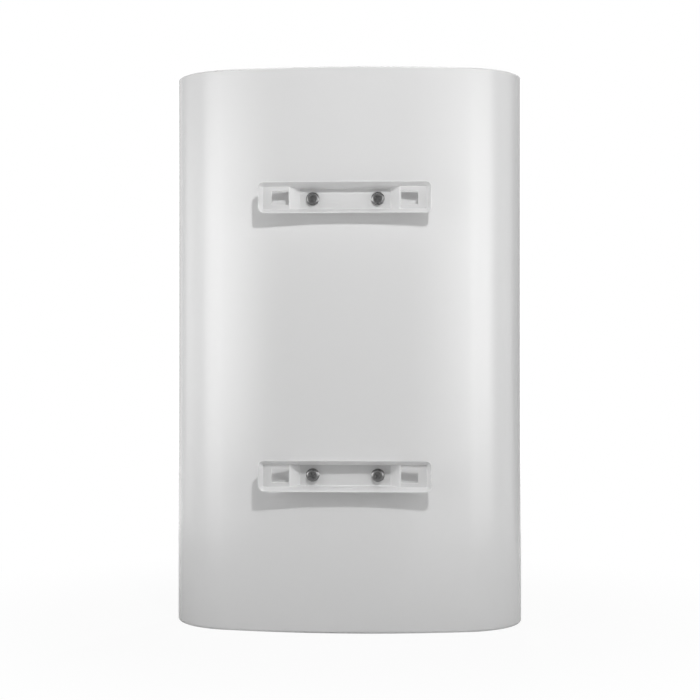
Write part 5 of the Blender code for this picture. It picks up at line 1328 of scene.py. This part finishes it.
class HEATER_OT_pipe_ends(bpy.types.Operator):
    """Threaded inlet and outlet, their coloured rings and the ribbed cable gland"""

    bl_idname = "heater.pipe_ends"
    bl_label = "Pipe ends"

    def execute(self, context):
        pipes = context.scene.heater_pipes
        covers = context.scene.heater_covers
        under = covers.set_in + covers.recess_depth - CLEAR
        ridge = self.ridge(pipes)
        for node in ("cold_inlet_pipe", "hot_outlet_pipe"):
            pipe = stood(self.pipe(pipes, node, ridge.copy()), middle(node))
            add_piece(f"threaded_{node}", pipe, pipe_steel, [node])
        rings = {"cold_ring": (cold_plastic, "blue_plastic"), "hot_ring": (hot_plastic, "red_plastic")}
        for node, (maker, slot) in rings.items():
            add_piece(f"{node}_marker", stood(self.ring(pipes, under), middle(node)), maker, [node])
        gland = stood(turned(self.gland(pipes, under), closed=True), middle("cable_gland"))
        add_piece("ribbed_gland", gland, seal_rubber, ["cable_gland"])
        return {"FINISHED"}

    def ring(self, pipes, under):
        """A coloured ring below the recess's roof, with two grooves in its lower face."""
        low = under - pipes.ring
        soft = pipes.ring_round
        profile = [(pipes.radius + CLEAR, low)]
        profile += quarter((pipes.ring_radius - soft, low + soft), soft, 270.0, EDGE_STEPS, 90.0)
        profile += [(pipes.ring_radius, under), (pipes.radius + CLEAR, under)]
        deep = low + pipes.ring_groove
        past = low - 0.001
        groove_radii = ((0.0125, 0.0133), (0.0140, 0.0146))
        cuts = []
        for near, far in groove_radii:
            groove = [(near, past), (far, past), (far, deep), (near, deep)]
            cuts.append(("DIFFERENCE", turned(groove, closed=True)))
        return carve(turned(profile, closed=True), *cuts)

    def gland(self, pipes, under):
        """Profile of the gland: a soft flange with a stepped mouth, a groove for the roof and a ribbed tail."""
        low = under - pipes.gland_flange
        flange = low + 0.0007
        soft = 0.0011
        # The mouth, as steps outwards and upwards from the bore's lower end
        mouth = ((0.0, 0.0002), (0.0002, 0.0), (0.0016, 0.0))
        points = [(pipes.gland_bore + outwards, low + upwards) for outwards, upwards in mouth]
        points.append((pipes.gland_bore + 0.0021, flange))
        points += quarter((pipes.gland_radius - soft, flange + soft), soft, 270.0, 5, 90.0)
        points += [(pipes.gland_radius, under), (pipes.gland_neck, under)]
        top = under + pipes.gland_length - pipes.gland_flange
        ribs = 4
        roof_groove = 0.0035
        start = under + roof_groove
        pitch = (top - start) / ribs
        rib_height = 0.0012
        rib_taper = 0.0002
        valley = pipes.gland_neck - rib_height
        points.append((pipes.gland_neck, start))
        for i in range(ribs):
            at = start + i * pitch
            crest = pipes.gland_neck - rib_taper * (i + 1)
            points += [(valley, at + pitch * 0.3), (valley, at + pitch * 0.6)]
            points += [(crest, at + pitch * 0.8), (crest, at + pitch)]
        points.append((pipes.gland_bore, top))
        return points

    def pipe(self, pipes, node, ridge):
        """A pipe with an outside thread at its open end."""
        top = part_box(node)[1].z
        wall = pipes.radius - pipes.thread + 4 * WELD
        foot = pipes.foot
        end = pipes.thread_end
        inner_bevel = 0.0004
        outer_bevel = 0.0002
        run_out = 0.001
        mouth = [(pipes.bore, foot + inner_bevel), (pipes.bore + inner_bevel, foot), (wall - outer_bevel, foot)]
        outer = [(wall, foot + outer_bevel), (wall, end + run_out), (pipes.radius, end + 2 * run_out)]
        if node == "hot_outlet_pipe":
            low = pipes.riser_foot
            outer += [(pipes.radius, low), (pipes.riser_radius, low + pipes.riser_cone), (pipes.riser_radius, top)]
            outer += [(pipes.riser_bore, top), (pipes.riser_bore, low), (pipes.bore, low - pipes.riser_cone)]
        else:
            outer += [(pipes.radius, top), (pipes.bore, top)]
        return carve(turned(mouth + outer, closed=True), ("UNION", ridge))

    def ridge(self, pipes):
        """The thread's ridge alone, chamfered at both ends."""
        root = pipes.radius - pipes.thread
        low = pipes.foot + CLEAR
        high = pipes.thread_end + 0.0008
        crest = [(pipes.radius, low + pipes.chamfer), (pipes.radius, pipes.thread_end - pipes.chamfer)]
        envelope = turned([(0.0, low), (root - 0.0001, low), *crest, (root - 0.0002, high), (0.0, high)])
        inside = rod(root - 0.0007, pipes.foot - PAST, pipes.thread_end + PAST, TURN_STEPS)
        return carve(self.thread(pipes, root), ("INTERSECT", envelope), ("DIFFERENCE", inside))

    def thread(self, pipes, root):
        """A closed screw thread about Z, a little longer than the threaded end."""
        bm = bmesh.new()
        pitch = pipes.pitch
        start = pipes.foot - 2 * pitch
        turns = math.ceil((pipes.thread_end - start) / pitch) + 2
        profile = [(root, 0.0), (root, 0.10), (pipes.radius, 0.43), (pipes.radius, 0.57), (root, 0.90), (root, 1.0)]
        geometry = chain(bm, [(radius, 0.0, start + part * pitch) for radius, part in profile])
        bmesh.ops.spin(
            bm, geom=geometry, cent=ORIGIN, axis=UP, dvec=(0.0, 0.0, pitch / FINE_STEPS),
            angle=FULL_TURN * turns, steps=FINE_STEPS * turns, use_duplicate=False,
        )
        seal(bm)
        halfway = start + pitch * turns / 2
        for upper in (False, True):
            rim = [e for e in bm.edges if e.is_boundary and (e.verts[0].co.z > halfway) == upper]
            made = bmesh.ops.extrude_edge_only(bm, edges=rim)
            tips = only_verts(made["geom"])
            height = sum(vert.co.z for vert in tips) / len(tips)
            bmesh.ops.pointmerge(bm, verts=tips, merge_co=(0.0, 0.0, height))
        return seal(bm)


class HEATER_OT_panel(bpy.types.Operator):
    """Gloss bezel on the front crown, display window with lit digits, dial marks and indicator"""

    bl_idname = "heater.panel"
    bl_label = "Control panel"

    def execute(self, context):
        panel = context.scene.heater_panel
        plan = Plan()
        at = middle("control_bezel").z
        self.bezel(context, plan, at)
        size = (panel.display_length - 2 * CLEAR, panel.display_height - 2 * CLEAR)
        outer = -panel.proud - panel.display_proud
        inner = panel.display_glass - panel.proud - CLEAR
        glass = crown_block(plan, (panel.display_x, at), size, outer, inner, panel.display_corner, DISPLAY_STEPS)
        round_face(plan, glass, outer, panel.display_round, 3)
        add_piece("smoked_window", glass, display_glass, ["display_window"])
        self.digits(plan, panel, at, outer)
        self.dial(context, plan, at)
        self.lens(panel)
        return {"FINISHED"}

    def bezel(self, context, plan, at):
        """The bezel: a lip on the shell, a box in its window, posts for the board, and holes for the controls."""
        panel = context.scene.heater_panel
        controls = context.scene.heater_controls
        cover = (panel.length + 2 * panel.lip, panel.height + 2 * panel.lip)
        lip = crown_block(plan, (0.0, at), cover, -panel.proud, -CLEAR, panel.corner + panel.lip, CROWN_STEPS)
        round_face(plan, lip, -panel.proud, panel.edge_round)
        trim = (panel.length - 2 * CLEAR, panel.height - 2 * CLEAR)
        body = crown_block(plan, (0.0, at), trim, -panel.proud / 2, panel.reach, panel.corner - CLEAR)
        wall = CLEAR + panel.side
        inside = (panel.length - 2 * wall, panel.height - 2 * wall)
        hollow = crown_block(plan, (0.0, at), inside, panel.wall - panel.proud, panel.reach + PAST, panel.corner - wall)
        steps = [("UNION", body), ("DIFFERENCE", hollow)]
        board_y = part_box("control_board")[0].y - MID_Y - CLEAR
        for x in (-panel.post_x, panel.post_x):
            for z in (at - panel.post_z, at + panel.post_z):
                steps.append(("UNION", laid(rod(panel.post, -plan.reach(x), board_y), x, z)))
        display = (panel.display_x, at)
        size = (panel.display_length, panel.display_height)
        view = (size[0] - 2 * panel.display_ledge, size[1] - 2 * panel.display_ledge)
        seat = panel.display_glass - panel.proud
        cuts = ((size, seat, panel.display_corner), (view, panel.wall, panel.display_corner / 2))
        for opening, floor, corner in cuts:
            cut = crown_block(plan, display, opening, -panel.proud - PAST, floor, corner, DISPLAY_STEPS)
            steps.append(("DIFFERENCE", cut))
        lens = middle("indicator_lens")
        holes = [
            (controls.shaft + RUN, 0.0, at),
            (controls.button_radius + RUN, middle("power_button").x, at),
            (controls.button_radius + RUN, middle("mode_button").x, at),
            (panel.lens_radius + CLEAR, lens.x, lens.z),
        ]
        for radius, x, z in holes:
            hole = rod(radius, -plan.half_depth - 2 * PAST, -plan.half_depth + panel.reach, TURN_STEPS)
            steps.append(("DIFFERENCE", laid(hole, x, z)))
        add_piece("panel_bezel", carve(lip, *steps), panel_black, ["control_bezel"])

    def bar(self, bm, size, turn, place, pointed=False):
        """A flat bar of (length, width) in the XZ plane, turned clockwise as seen from the front."""
        shape = bmesh.new()
        bmesh.ops.create_cube(shape, size=1.0, matrix=Matrix.Diagonal((size[0], INK, size[1], 1.0)))
        if pointed:
            round_off(shape, edges_along(shape, ALONG_Y), size[1] * 0.46, 1)
        matrix = Matrix.Translation((place[0], 0.0, place[1])) @ Matrix.Rotation(turn, 4, "Y")
        bmesh.ops.transform(shape, matrix=matrix, verts=shape.verts)
        add_shape(bm, shape)

    def on_crown(self, plan, bm, inset):
        """Bends flat marks onto the front crown at inset."""
        for vert in bm.verts:
            vert.co.y -= plan.reach(vert.co.x, inset)
        return bm

    def digits(self, plan, panel, at, inset):
        """A plain lit number and a row of level bars."""
        bm = bmesh.new()
        wide = panel.digit_width
        tall = panel.digit_height
        stroke = panel.digit_stroke
        half = tall / 2
        levels = {"top": half, "middle": 0.0, "bottom": -half}
        bars = {name: ((wide, stroke), 0.0, (0.0, z)) for name, z in levels.items()}
        for row, z in (("upper", half / 2), ("lower", -half / 2)):
            for side, x in (("left", -wide / 2), ("right", wide / 2)):
                bars[f"{row}_{side}"] = ((half, stroke), math.pi / 2, (x, z))
        six = ("top", "middle", "bottom", "upper_left", "lower_left", "lower_right")
        zero = ("top", "bottom", "upper_left", "upper_right", "lower_left", "lower_right")
        aside = wide * 0.9
        for lit, x in ((six, -aside), (zero, aside)):
            for name in lit:
                size, turn, place = bars[name]
                spot = (panel.display_x + x + place[0], at + panel.digit_rise + place[1])
                self.bar(bm, (size[0] - panel.digit_gap, size[1]), turn, spot, True)
        level_bar = (0.0038, 0.0011)
        for i in range(5):
            spot = (panel.display_x + (i - 2) * panel.level_pitch, at - panel.level_drop)
            self.bar(bm, level_bar, 0.0, spot)
        add_piece("display_digits", self.on_crown(plan, bm, inset - INK / 2), digit_glow)

    def dial(self, context, plan, at):
        """Tick marks and plain numbers round the temperature knob."""
        panel = context.scene.heater_panel
        controls = context.scene.heater_controls
        bm = bmesh.new()
        ticks = 20
        short = (0.00045, 0.0014)
        long = (0.0007, 0.0026)
        for i in range(ticks + 1):
            turn = controls.sweep * (i / ticks - 0.5)
            size = short if i % 5 else long
            far = controls.knob_radius + panel.tick_gap + size[1] / 2
            self.bar(bm, size, turn, (far * math.sin(turn), at + far * math.cos(turn)))
        far = controls.knob_radius + panel.number_gap
        for i, text in enumerate(("30", "40", "50", "60", "70")):
            turn = controls.sweep * (i / 4 - 0.5)
            place = Vector((far * math.sin(turn), 0.0, at + far * math.cos(turn)))
            self.numeral(bm, text, panel.number_height, place)
        marks = self.on_crown(plan, seal(bm), -panel.proud - INK / 2)
        add_piece("dial_marks", marks, dial_print, weighted=False)

    def numeral(self, bm, text, size, place):
        """Adds a plain number, flat in the XZ plane and facing the front."""
        font = bpy.data.curves.new("number", "FONT")
        font.body = text
        font.size = size
        font.align_x = "CENTER"
        font.align_y = "CENTER"
        font.extrude = INK / 2
        font.resolution_u = 4
        writer = bpy.data.objects.new("number", font)
        bpy.context.scene.collection.objects.link(writer)
        bpy.context.view_layer.update()
        mesh = bpy.data.meshes.new_from_object(writer.evaluated_get(bpy.context.evaluated_depsgraph_get()))
        mesh.transform(Matrix.Translation(place) @ Matrix.Rotation(math.pi / 2, 4, "X"))
        bm.from_mesh(mesh)
        bpy.data.objects.remove(writer)
        bpy.data.curves.remove(font)
        bpy.data.meshes.remove(mesh)

    def lens(self, panel):
        """A domed light guide that reaches the board."""
        place = middle("indicator_lens")
        low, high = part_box("indicator_lens")
        face = low.y - MID_Y
        soft = panel.lens_radius * 0.45
        back = high.y - MID_Y
        profile = [(0.0, back), (panel.lens_radius, back)]
        profile += quarter((panel.lens_radius - soft, face + soft), soft, 0.0, 8)
        profile += [(0.0, face)]
        guide = laid(turned(profile, FINE_STEPS), place.x, place.z)
        add_piece("indicator_dome", guide, lens_amber, ["indicator_lens"])


class HEATER_OT_knob(bpy.types.Operator):
    """Temperature knob with a fluted grip, a dished face and a pointer line"""

    bl_idname = "heater.knob"
    bl_label = "Temperature knob"

    def execute(self, context):
        knob = context.scene.heater_controls
        panel = context.scene.heater_panel
        plan = Plan()
        at = middle("temperature_knob").z
        face = -plan.half_depth - knob.knob_stand
        foot = -plan.half_depth - panel.proud - RUN
        bore_top = face + 2 * knob.knob_wall
        inner = face + knob.knob_wall + knob.knob_round
        bore = knob.shaft + CLEAR
        profile = [(0.0, bore_top), (bore, bore_top), (bore, foot), (knob.knob_hub, foot), (knob.knob_hub, inner)]
        profile += [(knob.knob_face - knob.knob_wall, inner), (knob.knob_radius - knob.knob_wall, foot)]
        # Bevelled foot and the bead above it, as steps inwards and forwards from the foot's corner
        bevel = ((0.0004, 0.0), (0.0, 0.0004), (0.0001, 0.0012))
        bead = ((0.0008, 0.0016), (0.0008, 0.0022), (0.0002, 0.0026))
        profile += [(knob.knob_radius - inwards, foot - forwards) for inwards, forwards in (*bevel, *bead)]
        edge = knob.knob_face - knob.knob_round / 2
        profile += quarter((edge, face + knob.knob_round), knob.knob_round, 0.0, 8)
        rim = edge - 0.0012
        profile.append((rim, face))
        for i in range(9):
            part = 1 - i / 8
            profile.append(((rim - 0.0006) * part, face + knob.knob_dish * (1 - 0.35 * part**2)))
        body = carve(turned(profile, 120), ("DIFFERENCE", self.grip(knob, foot)))
        laid(body, 0.0, at)
        top = at + knob.knob_face - knob.knob_round
        low = top - knob.mark_length
        half = knob.mark_width / 2
        groove = block((-half, face - PAST, low), (half, face + knob.mark_depth + knob.knob_dish, top))
        round_off(groove, edges_along(groove, ALONG_Y), half * 0.8, EDGE_STEPS)
        body = carve(body, ("DIFFERENCE", groove))
        add_piece("fluted_knob", body, knob_chrome, ["temperature_knob"], "temperature_knob_body")
        gap = 0.0001
        line = face + knob.knob_dish + gap
        fill = block((-half + gap, line, low + gap), (half - gap, line + knob.mark_depth - gap, top - gap))
        round_off(fill, edges_along(fill, ALONG_Y), half * 0.7, EDGE_STEPS)
        add_piece("knob_pointer", fill, panel_black, body="temperature_knob_body")
        return {"FINISHED"}

    def grip(self, knob, foot):
        """The rods that cut the grip grooves, leaning with the knob's side."""
        bm = bmesh.new()
        radius = knob.flute_radius
        slope = math.atan2(knob.knob_radius - knob.knob_face, knob.knob_stand)
        tilt = Matrix.Rotation(slope, 4, "Y")
        spot = Matrix.Translation((knob.knob_radius + radius * 0.45, 0.0, foot - knob.flute_rise))
        for i in range(knob.flutes):
            turn = Matrix.Rotation(FULL_TURN * (i + 0.5) / knob.flutes, 4, "Z")
            made = bmesh.ops.create_cone(
                bm, cap_ends=True, segments=14, radius1=radius, radius2=radius, depth=knob.flute_length
            )
            bmesh.ops.transform(bm, matrix=turn @ spot @ tilt, verts=made["verts"])
        return bm


class HEATER_OT_buttons(bpy.types.Operator):
    """Two dished push buttons with plain symbols"""

    bl_idname = "heater.buttons"
    bl_label = "Buttons"

    def execute(self, context):
        sizes = context.scene.heater_controls
        for name, maker, draw in (("power", power_chrome, self.power), ("mode", mode_chrome, self.mode)):
            node = f"{name}_button"
            place = middle(node)
            low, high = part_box(node)
            face = low.y - MID_Y
            tip = high.y - MID_Y
            back = self.shoulder(context, place.x)
            radius = sizes.button_radius
            wide = radius + sizes.shoulder
            step = back - sizes.shoulder_height
            profile = [(0.0, tip), (sizes.stem, tip), (sizes.stem, back), (wide, back), (wide, step), (radius, step)]
            profile += quarter((radius - sizes.button_round, face + sizes.button_round), sizes.button_round, 0.0, 6)
            rim = radius - sizes.button_round - 0.0005
            for i in range(8):
                part = 1 - i / 7
                profile.append((rim * part, face + sizes.button_dish * (1 - part**2)))
            button = laid(turned(profile), place.x, place.z)
            body = f"{node}_body"
            add_piece(f"{name}_push_button", button, maker, [node], body)
            symbol = moved(draw(), place.x, face + sizes.button_dish, place.z)
            add_piece(f"{name}_symbol", symbol, panel_black, body=body, weighted=False)
        return {"FINISHED"}

    def shoulder(self, context, x):
        """Back of the shoulder that keeps a button behind the bezel."""
        sizes = context.scene.heater_controls
        panel = context.scene.heater_panel
        front = -Plan().reach(abs(x) + sizes.button_radius + sizes.shoulder)
        return front + panel.wall - panel.proud + CLEAR + sizes.shoulder_height

    def power(self):
        """A broken ring with a stroke in its gap."""
        bm = bmesh.new()
        near = 0.0022
        far = 0.0027
        thick = 0.0002
        section = ((near, 0.0), (far, 0.0), (far, thick), (near, thick))
        face = bm.faces.new([bm.verts.new((radius, 0.0, z)) for radius, z in section])
        gap = math.radians(38.0)
        spun(bm, math.pi / 2 + gap)
        sweep(bm, [*face.verts, *face.edges, face], [(ORIGIN, FULL_TURN - 2 * gap, 40)])
        stroke_at = 0.0021
        stroke = (0.0005, 0.0028, thick, 1.0)
        matrix = Matrix.Translation((0.0, stroke_at, thick / 2)) @ Matrix.Diagonal(stroke)
        bmesh.ops.create_cube(bm, size=1.0, matrix=matrix)
        return spun(bm, math.pi / 2, axis="X")

    def mode(self):
        """Three bars of growing length."""
        bm = bmesh.new()
        thick = 0.0002
        wide = 0.0007
        pitch = 0.0015
        shortest = 0.0016
        growth = 0.0013
        tallest = shortest + 2 * growth
        for i in range(3):
            tall = shortest + growth * i
            place = Matrix.Translation(((i - 1) * pitch, -thick / 2, (tall - tallest) / 2))
            bmesh.ops.create_cube(bm, size=1.0, matrix=place @ Matrix.Diagonal((wide, thick, tall, 1.0)))
        return bm


def per_tank(*names):
    """The nodes with these names, for the cold and the hot tank."""
    return tuple(f"{side}_{name}" for side in ("cold", "hot") for name in names)


class HEATER_OT_inner_finishes(bpy.types.Operator):
    """Finishes of the pieces whose CAD shape stays, most of them inside the casing"""

    bl_idname = "heater.inner_finishes"
    bl_label = "Inner finishes"

    def execute(self, context):
        kinds = {
            strip_plastic: ("side_strip_left", "side_strip_right"),
            poured_foam: ("foam_insulation",),
            tank_enamel: per_tank("tank"),
            copper_sheath: ("transfer_pipe", *per_tank("heating_element", "sensor")),
            rolled_steel: ("upper_hanger_frame", "lower_hanger_frame", "knob_shaft"),
            pipe_steel: per_tank("thermowell"),
            terminal_plastic: ("inlet_diffuser", "terminal_block"),
            brass_turned: per_tank("element_plug"),
            seal_rubber: per_tank("plug_gasket"),
            magnesium_rod: per_tank("anode"),
            dark_plastic: ("thermal_cutout", "display_module", "knob_selector", "power_switch", "mode_switch"),
            hot_plastic: ("cutout_reset_button",),
            silicone_sheath: ("supply_lead", "sensor_lead", "board_lead", *per_tank("element_lead")),
            circuit_board: ("control_board",),
        }
        done = set()
        for maker, nodes in kinds.items():
            for node in nodes:
                done.add(node)
                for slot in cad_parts[node].material_slots:
                    slot.link = "OBJECT"
                    slot.material = finish(maker)
        shown = {name for name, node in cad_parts.items() if not node.hide_render}
        if shown - done:
            raise RuntimeError(f"these CAD nodes have no finish: {sorted(shown - done)}")
        return {"FINISHED"}


class HEATER_OT_studio(bpy.types.Operator):
    """Pale floor, white surroundings, lamps and the camera at the photograph's angle"""

    bl_idname = "heater.studio"
    bl_label = "Studio"

    def execute(self, context):
        studio = context.scene.heater_studio
        context.scene.view_settings.view_transform = "Standard"
        self.floor(studio)
        self.surroundings(context, studio)
        self.lamps(studio)
        self.camera(context, studio)
        return {"FINISHED"}

    def floor(self, studio):
        """A floor that is white for the camera, keeps the heater's shadow and is clear from below."""
        bm = bmesh.new()
        bmesh.ops.create_grid(bm, x_segments=1, y_segments=1, size=studio.floor_size)
        moved(bm, z=-studio.floor_gap)
        mesh = bpy.data.meshes.new("floor")
        bm.to_mesh(mesh)
        bm.free()
        floor = bpy.data.objects.new("floor", mesh)
        bpy.context.scene.collection.objects.link(floor)
        material = bpy.data.materials.new("floor_white")
        material.use_nodes = True
        graph = self.graph(material)
        where = graph.place()
        x = graph.part(where, "X")
        y = graph.part(where, "Y")
        far = graph.size(where)
        tone = graph.blend(graph.noise(where, 3.0, 2.0), (0.59, 0.59, 0.59), (0.61, 0.61, 0.61))
        matt = graph.node("ShaderNodeBsdfDiffuse", {}, {"Color": tone})
        glow = graph.node("ShaderNodeEmission", {}, {"Color": WHITE, "Strength": 1.0})
        clear = graph.node("ShaderNodeBsdfTransparent")
        camera = graph.ray("Camera")
        mirrored = (1.0 - studio.flag * (1.0 - self.white(graph, where))) * graph.step(far, 0.0, 1.5)
        lit = camera * (0.94 + 0.06 * graph.step(far, 0.25, 0.7)) + (1.0 - camera) * self.seen(graph) * mirrored
        beneath = 1.0 - graph.step(abs(x / studio.under_x) ** 3.0 + abs(y / studio.under_y) ** 3.0, 0.9, 1.0)
        lit = lit + studio.under * graph.ray("Diffuse") * beneath
        pale = graph.node("ShaderNodeMixShader", {}, {0: lit, 1: matt, 2: glow})
        back = graph.node("ShaderNodeNewGeometry", output="Backfacing")
        both = graph.node("ShaderNodeMixShader", {}, {0: back, 1: pale, 2: clear})
        self.close(graph, "ShaderNodeOutputMaterial", both)
        mesh.materials.append(material)

    def graph(self, owner):
        """The emptied node tree of a material, world or lamp."""
        graph = Graph(owner.node_tree)
        graph.tree.nodes.clear()
        return graph

    def close(self, graph, kind, shader):
        """Joins the last shader to an output node."""
        out = graph.tree.nodes.new(kind)
        graph.join(shader, out.inputs["Surface"])

    def seen(self, graph):
        """1 for rays that show the background: camera, glossy and transmission rays."""
        total = graph.ray("Camera")
        for kind in ("Glossy", "Transmission"):
            total = total.math("MAXIMUM", total, graph.ray(kind))
        return total

    def white(self, graph, way):
        """1 where a reflection that goes this way is white: at the two sides, with soft edges."""
        x = graph.part(way, "X")
        y = graph.part(way, "Y")
        aside = x / (x * x + y * y + 0.0001) ** 0.5
        rear = graph.step(y, -0.1, 0.1)
        sides = [graph.step(aside, *left) + graph.step(-aside, *right) for left, right in (WHITE_BEHIND, WHITE_AHEAD)]
        return rear * sides[0] + (1.0 - rear) * sides[1]

    def surroundings(self, context, studio):
        """White for the camera. Reflections see white at the sides and grey ahead, so white edges stay readable."""
        world = bpy.data.worlds.new("studio")
        context.scene.world = world
        world.use_nodes = True
        graph = self.graph(world)
        way = graph.node("ShaderNodeTexCoord", output="Generated")
        rise = graph.part(way, "Z")
        camera = graph.ray("Camera")
        seen = self.seen(graph)
        grey = studio.flag * (1.0 - self.white(graph, way)) * (1.0 - graph.step(rise, 0.0, 0.45))
        shown = 1.0 - grey * (1.0 - camera)
        strength = seen * shown + (1.0 - seen) * studio.fill
        light = graph.node("ShaderNodeBackground", {}, {"Color": WHITE, "Strength": strength})
        self.close(graph, "ShaderNodeOutputWorld", light)

    def lamps(self, studio):
        """Small key lamps high at the rear and the front, tall strips round the heater and a soft light above."""
        key = Vector(studio.key_place)
        size = studio.key_size
        aim = studio.key_aim * UP
        for side, y in (("rear", key.y), ("front", -key.y)):
            lamp = self.area(f"key_{side}", Vector((key.x, y, key.z)), aim, size, size, studio.key_power)
            lamp.visible_glossy = False
        self.area("top", studio.top_height * UP, ORIGIN, studio.top_size, studio.top_size, studio.top_power)
        middle_height = studio.strip_height * UP
        wide = studio.strip_width
        narrow = studio.strip_width / 2
        strips = {
            "rear_left": (studio.strip_left, wide, studio.left_power),
            "rear_right": (-studio.strip_right, wide, studio.right_power),
            "left": (math.pi / 2, wide, studio.side_power),
            "right": (-math.pi / 2, wide, studio.side_power),
            "front_left": (math.pi - studio.strip_front, narrow, studio.front_power),
            "front_right": (studio.strip_front - math.pi, narrow, studio.front_power),
        }
        for name, (azimuth, width, power) in strips.items():
            way = Vector((math.sin(azimuth), math.cos(azimuth), 0.0))
            place = middle_height + studio.strip_distance * way
            strip = self.area(f"strip_{name}", place, middle_height, width, studio.strip_length, power)
            strip.visible_glossy = name != "right"
            self.soften(strip.data)

    def area(self, name, place, target, width, height, power):
        """A rectangular lamp at place, aimed at target, which the camera doesn't see."""
        lamp = bpy.data.lights.new(name, "AREA")
        lamp.shape = "RECTANGLE"
        lamp.size = width
        lamp.size_y = height
        lamp.energy = power
        made = bpy.data.objects.new(name, lamp)
        bpy.context.scene.collection.objects.link(made)
        made.location = place
        made.rotation_euler = (target - place).to_track_quat("-Z", "Y").to_euler()
        made.visible_camera = False
        return made

    def soften(self, lamp):
        """Lets a strip light fade towards its edges, as a softbox does."""
        lamp.use_nodes = True
        graph = self.graph(lamp)
        where = graph.node("ShaderNodeNewGeometry", output="Parametric")
        across = graph.part(where, "X")
        up = graph.part(where, "Y")
        fade = graph.step(across, 0.0, 0.35) * (1.0 - graph.step(across, 0.65, 1.0))
        fade = fade * graph.step(up, 0.0, 0.4) * (1.0 - graph.step(up, 0.55, 1.05))
        glow = graph.node("ShaderNodeEmission", {}, {"Color": WHITE, "Strength": fade})
        self.close(graph, "ShaderNodeOutputLight", glow)

    def camera(self, context, studio):
        """The camera behind the heater, framed as the photograph is."""
        data = bpy.data.cameras.new("camera")
        data.sensor_width = 36.0
        data.lens = studio.lens
        data.shift_x = studio.shift_x
        data.shift_y = studio.shift_y
        data.dof.use_dof = False
        camera = bpy.data.objects.new("camera", data)
        context.scene.collection.objects.link(camera)
        camera.location = studio.camera_place
        camera.rotation_euler = Vector(studio.camera_look).to_track_quat("-Z", "Y").to_euler()
        bpy.context.scene.camera = camera


class HEATER_PT_sidebar(bpy.types.Panel):
    """Lists the heater's sizes and the steps that build it"""

    bl_idname = "HEATER_PT_sidebar"
    bl_label = "Water heater"
    bl_space_type = "VIEW_3D"
    bl_region_type = "UI"
    bl_category = "Heater"

    def draw(self, context):
        for kind in OPERATORS:
            self.layout.operator(kind.bl_idname)
        for name in GROUPS:
            box = self.layout.box()
            box.label(text=name.replace("_", " ").capitalize())
            group = getattr(context.scene, name)
            for key in group.bl_rna.properties.keys():
                if key not in ("rna_type", "name"):
                    box.prop(group, key)


GROUPS = {
    "heater_casing": HeaterCasing,
    "heater_covers": HeaterCovers,
    "heater_brackets": HeaterBrackets,
    "heater_bolts": HeaterBolts,
    "heater_pipes": HeaterPipes,
    "heater_panel": HeaterPanel,
    "heater_controls": HeaterControls,
    "heater_finishes": HeaterFinishes,
    "heater_studio": HeaterStudio,
}
OPERATORS = (
    HEATER_OT_casings,
    HEATER_OT_covers,
    HEATER_OT_cover_screws,
    HEATER_OT_brackets,
    HEATER_OT_bracket_bolts,
    HEATER_OT_pipe_ends,
    HEATER_OT_panel,
    HEATER_OT_knob,
    HEATER_OT_buttons,
    HEATER_OT_inner_finishes,
    HEATER_OT_studio,
)


def register():
    for kind in (*GROUPS.values(), *OPERATORS, HEATER_PT_sidebar):
        bpy.utils.register_class(kind)
    for name, kind in GROUPS.items():
        setattr(bpy.types.Scene, name, bpy.props.PointerProperty(type=kind))


def unregister():
    for name in GROUPS:
        delattr(bpy.types.Scene, name)
    for kind in reversed((*GROUPS.values(), *OPERATORS, HEATER_PT_sidebar)):
        bpy.utils.unregister_class(kind)


def main():
    register()
    for kind in OPERATORS:
        group, name = kind.bl_idname.split(".")
        getattr(getattr(bpy.ops, group), name)()


if __name__ == "__main__":
    main()
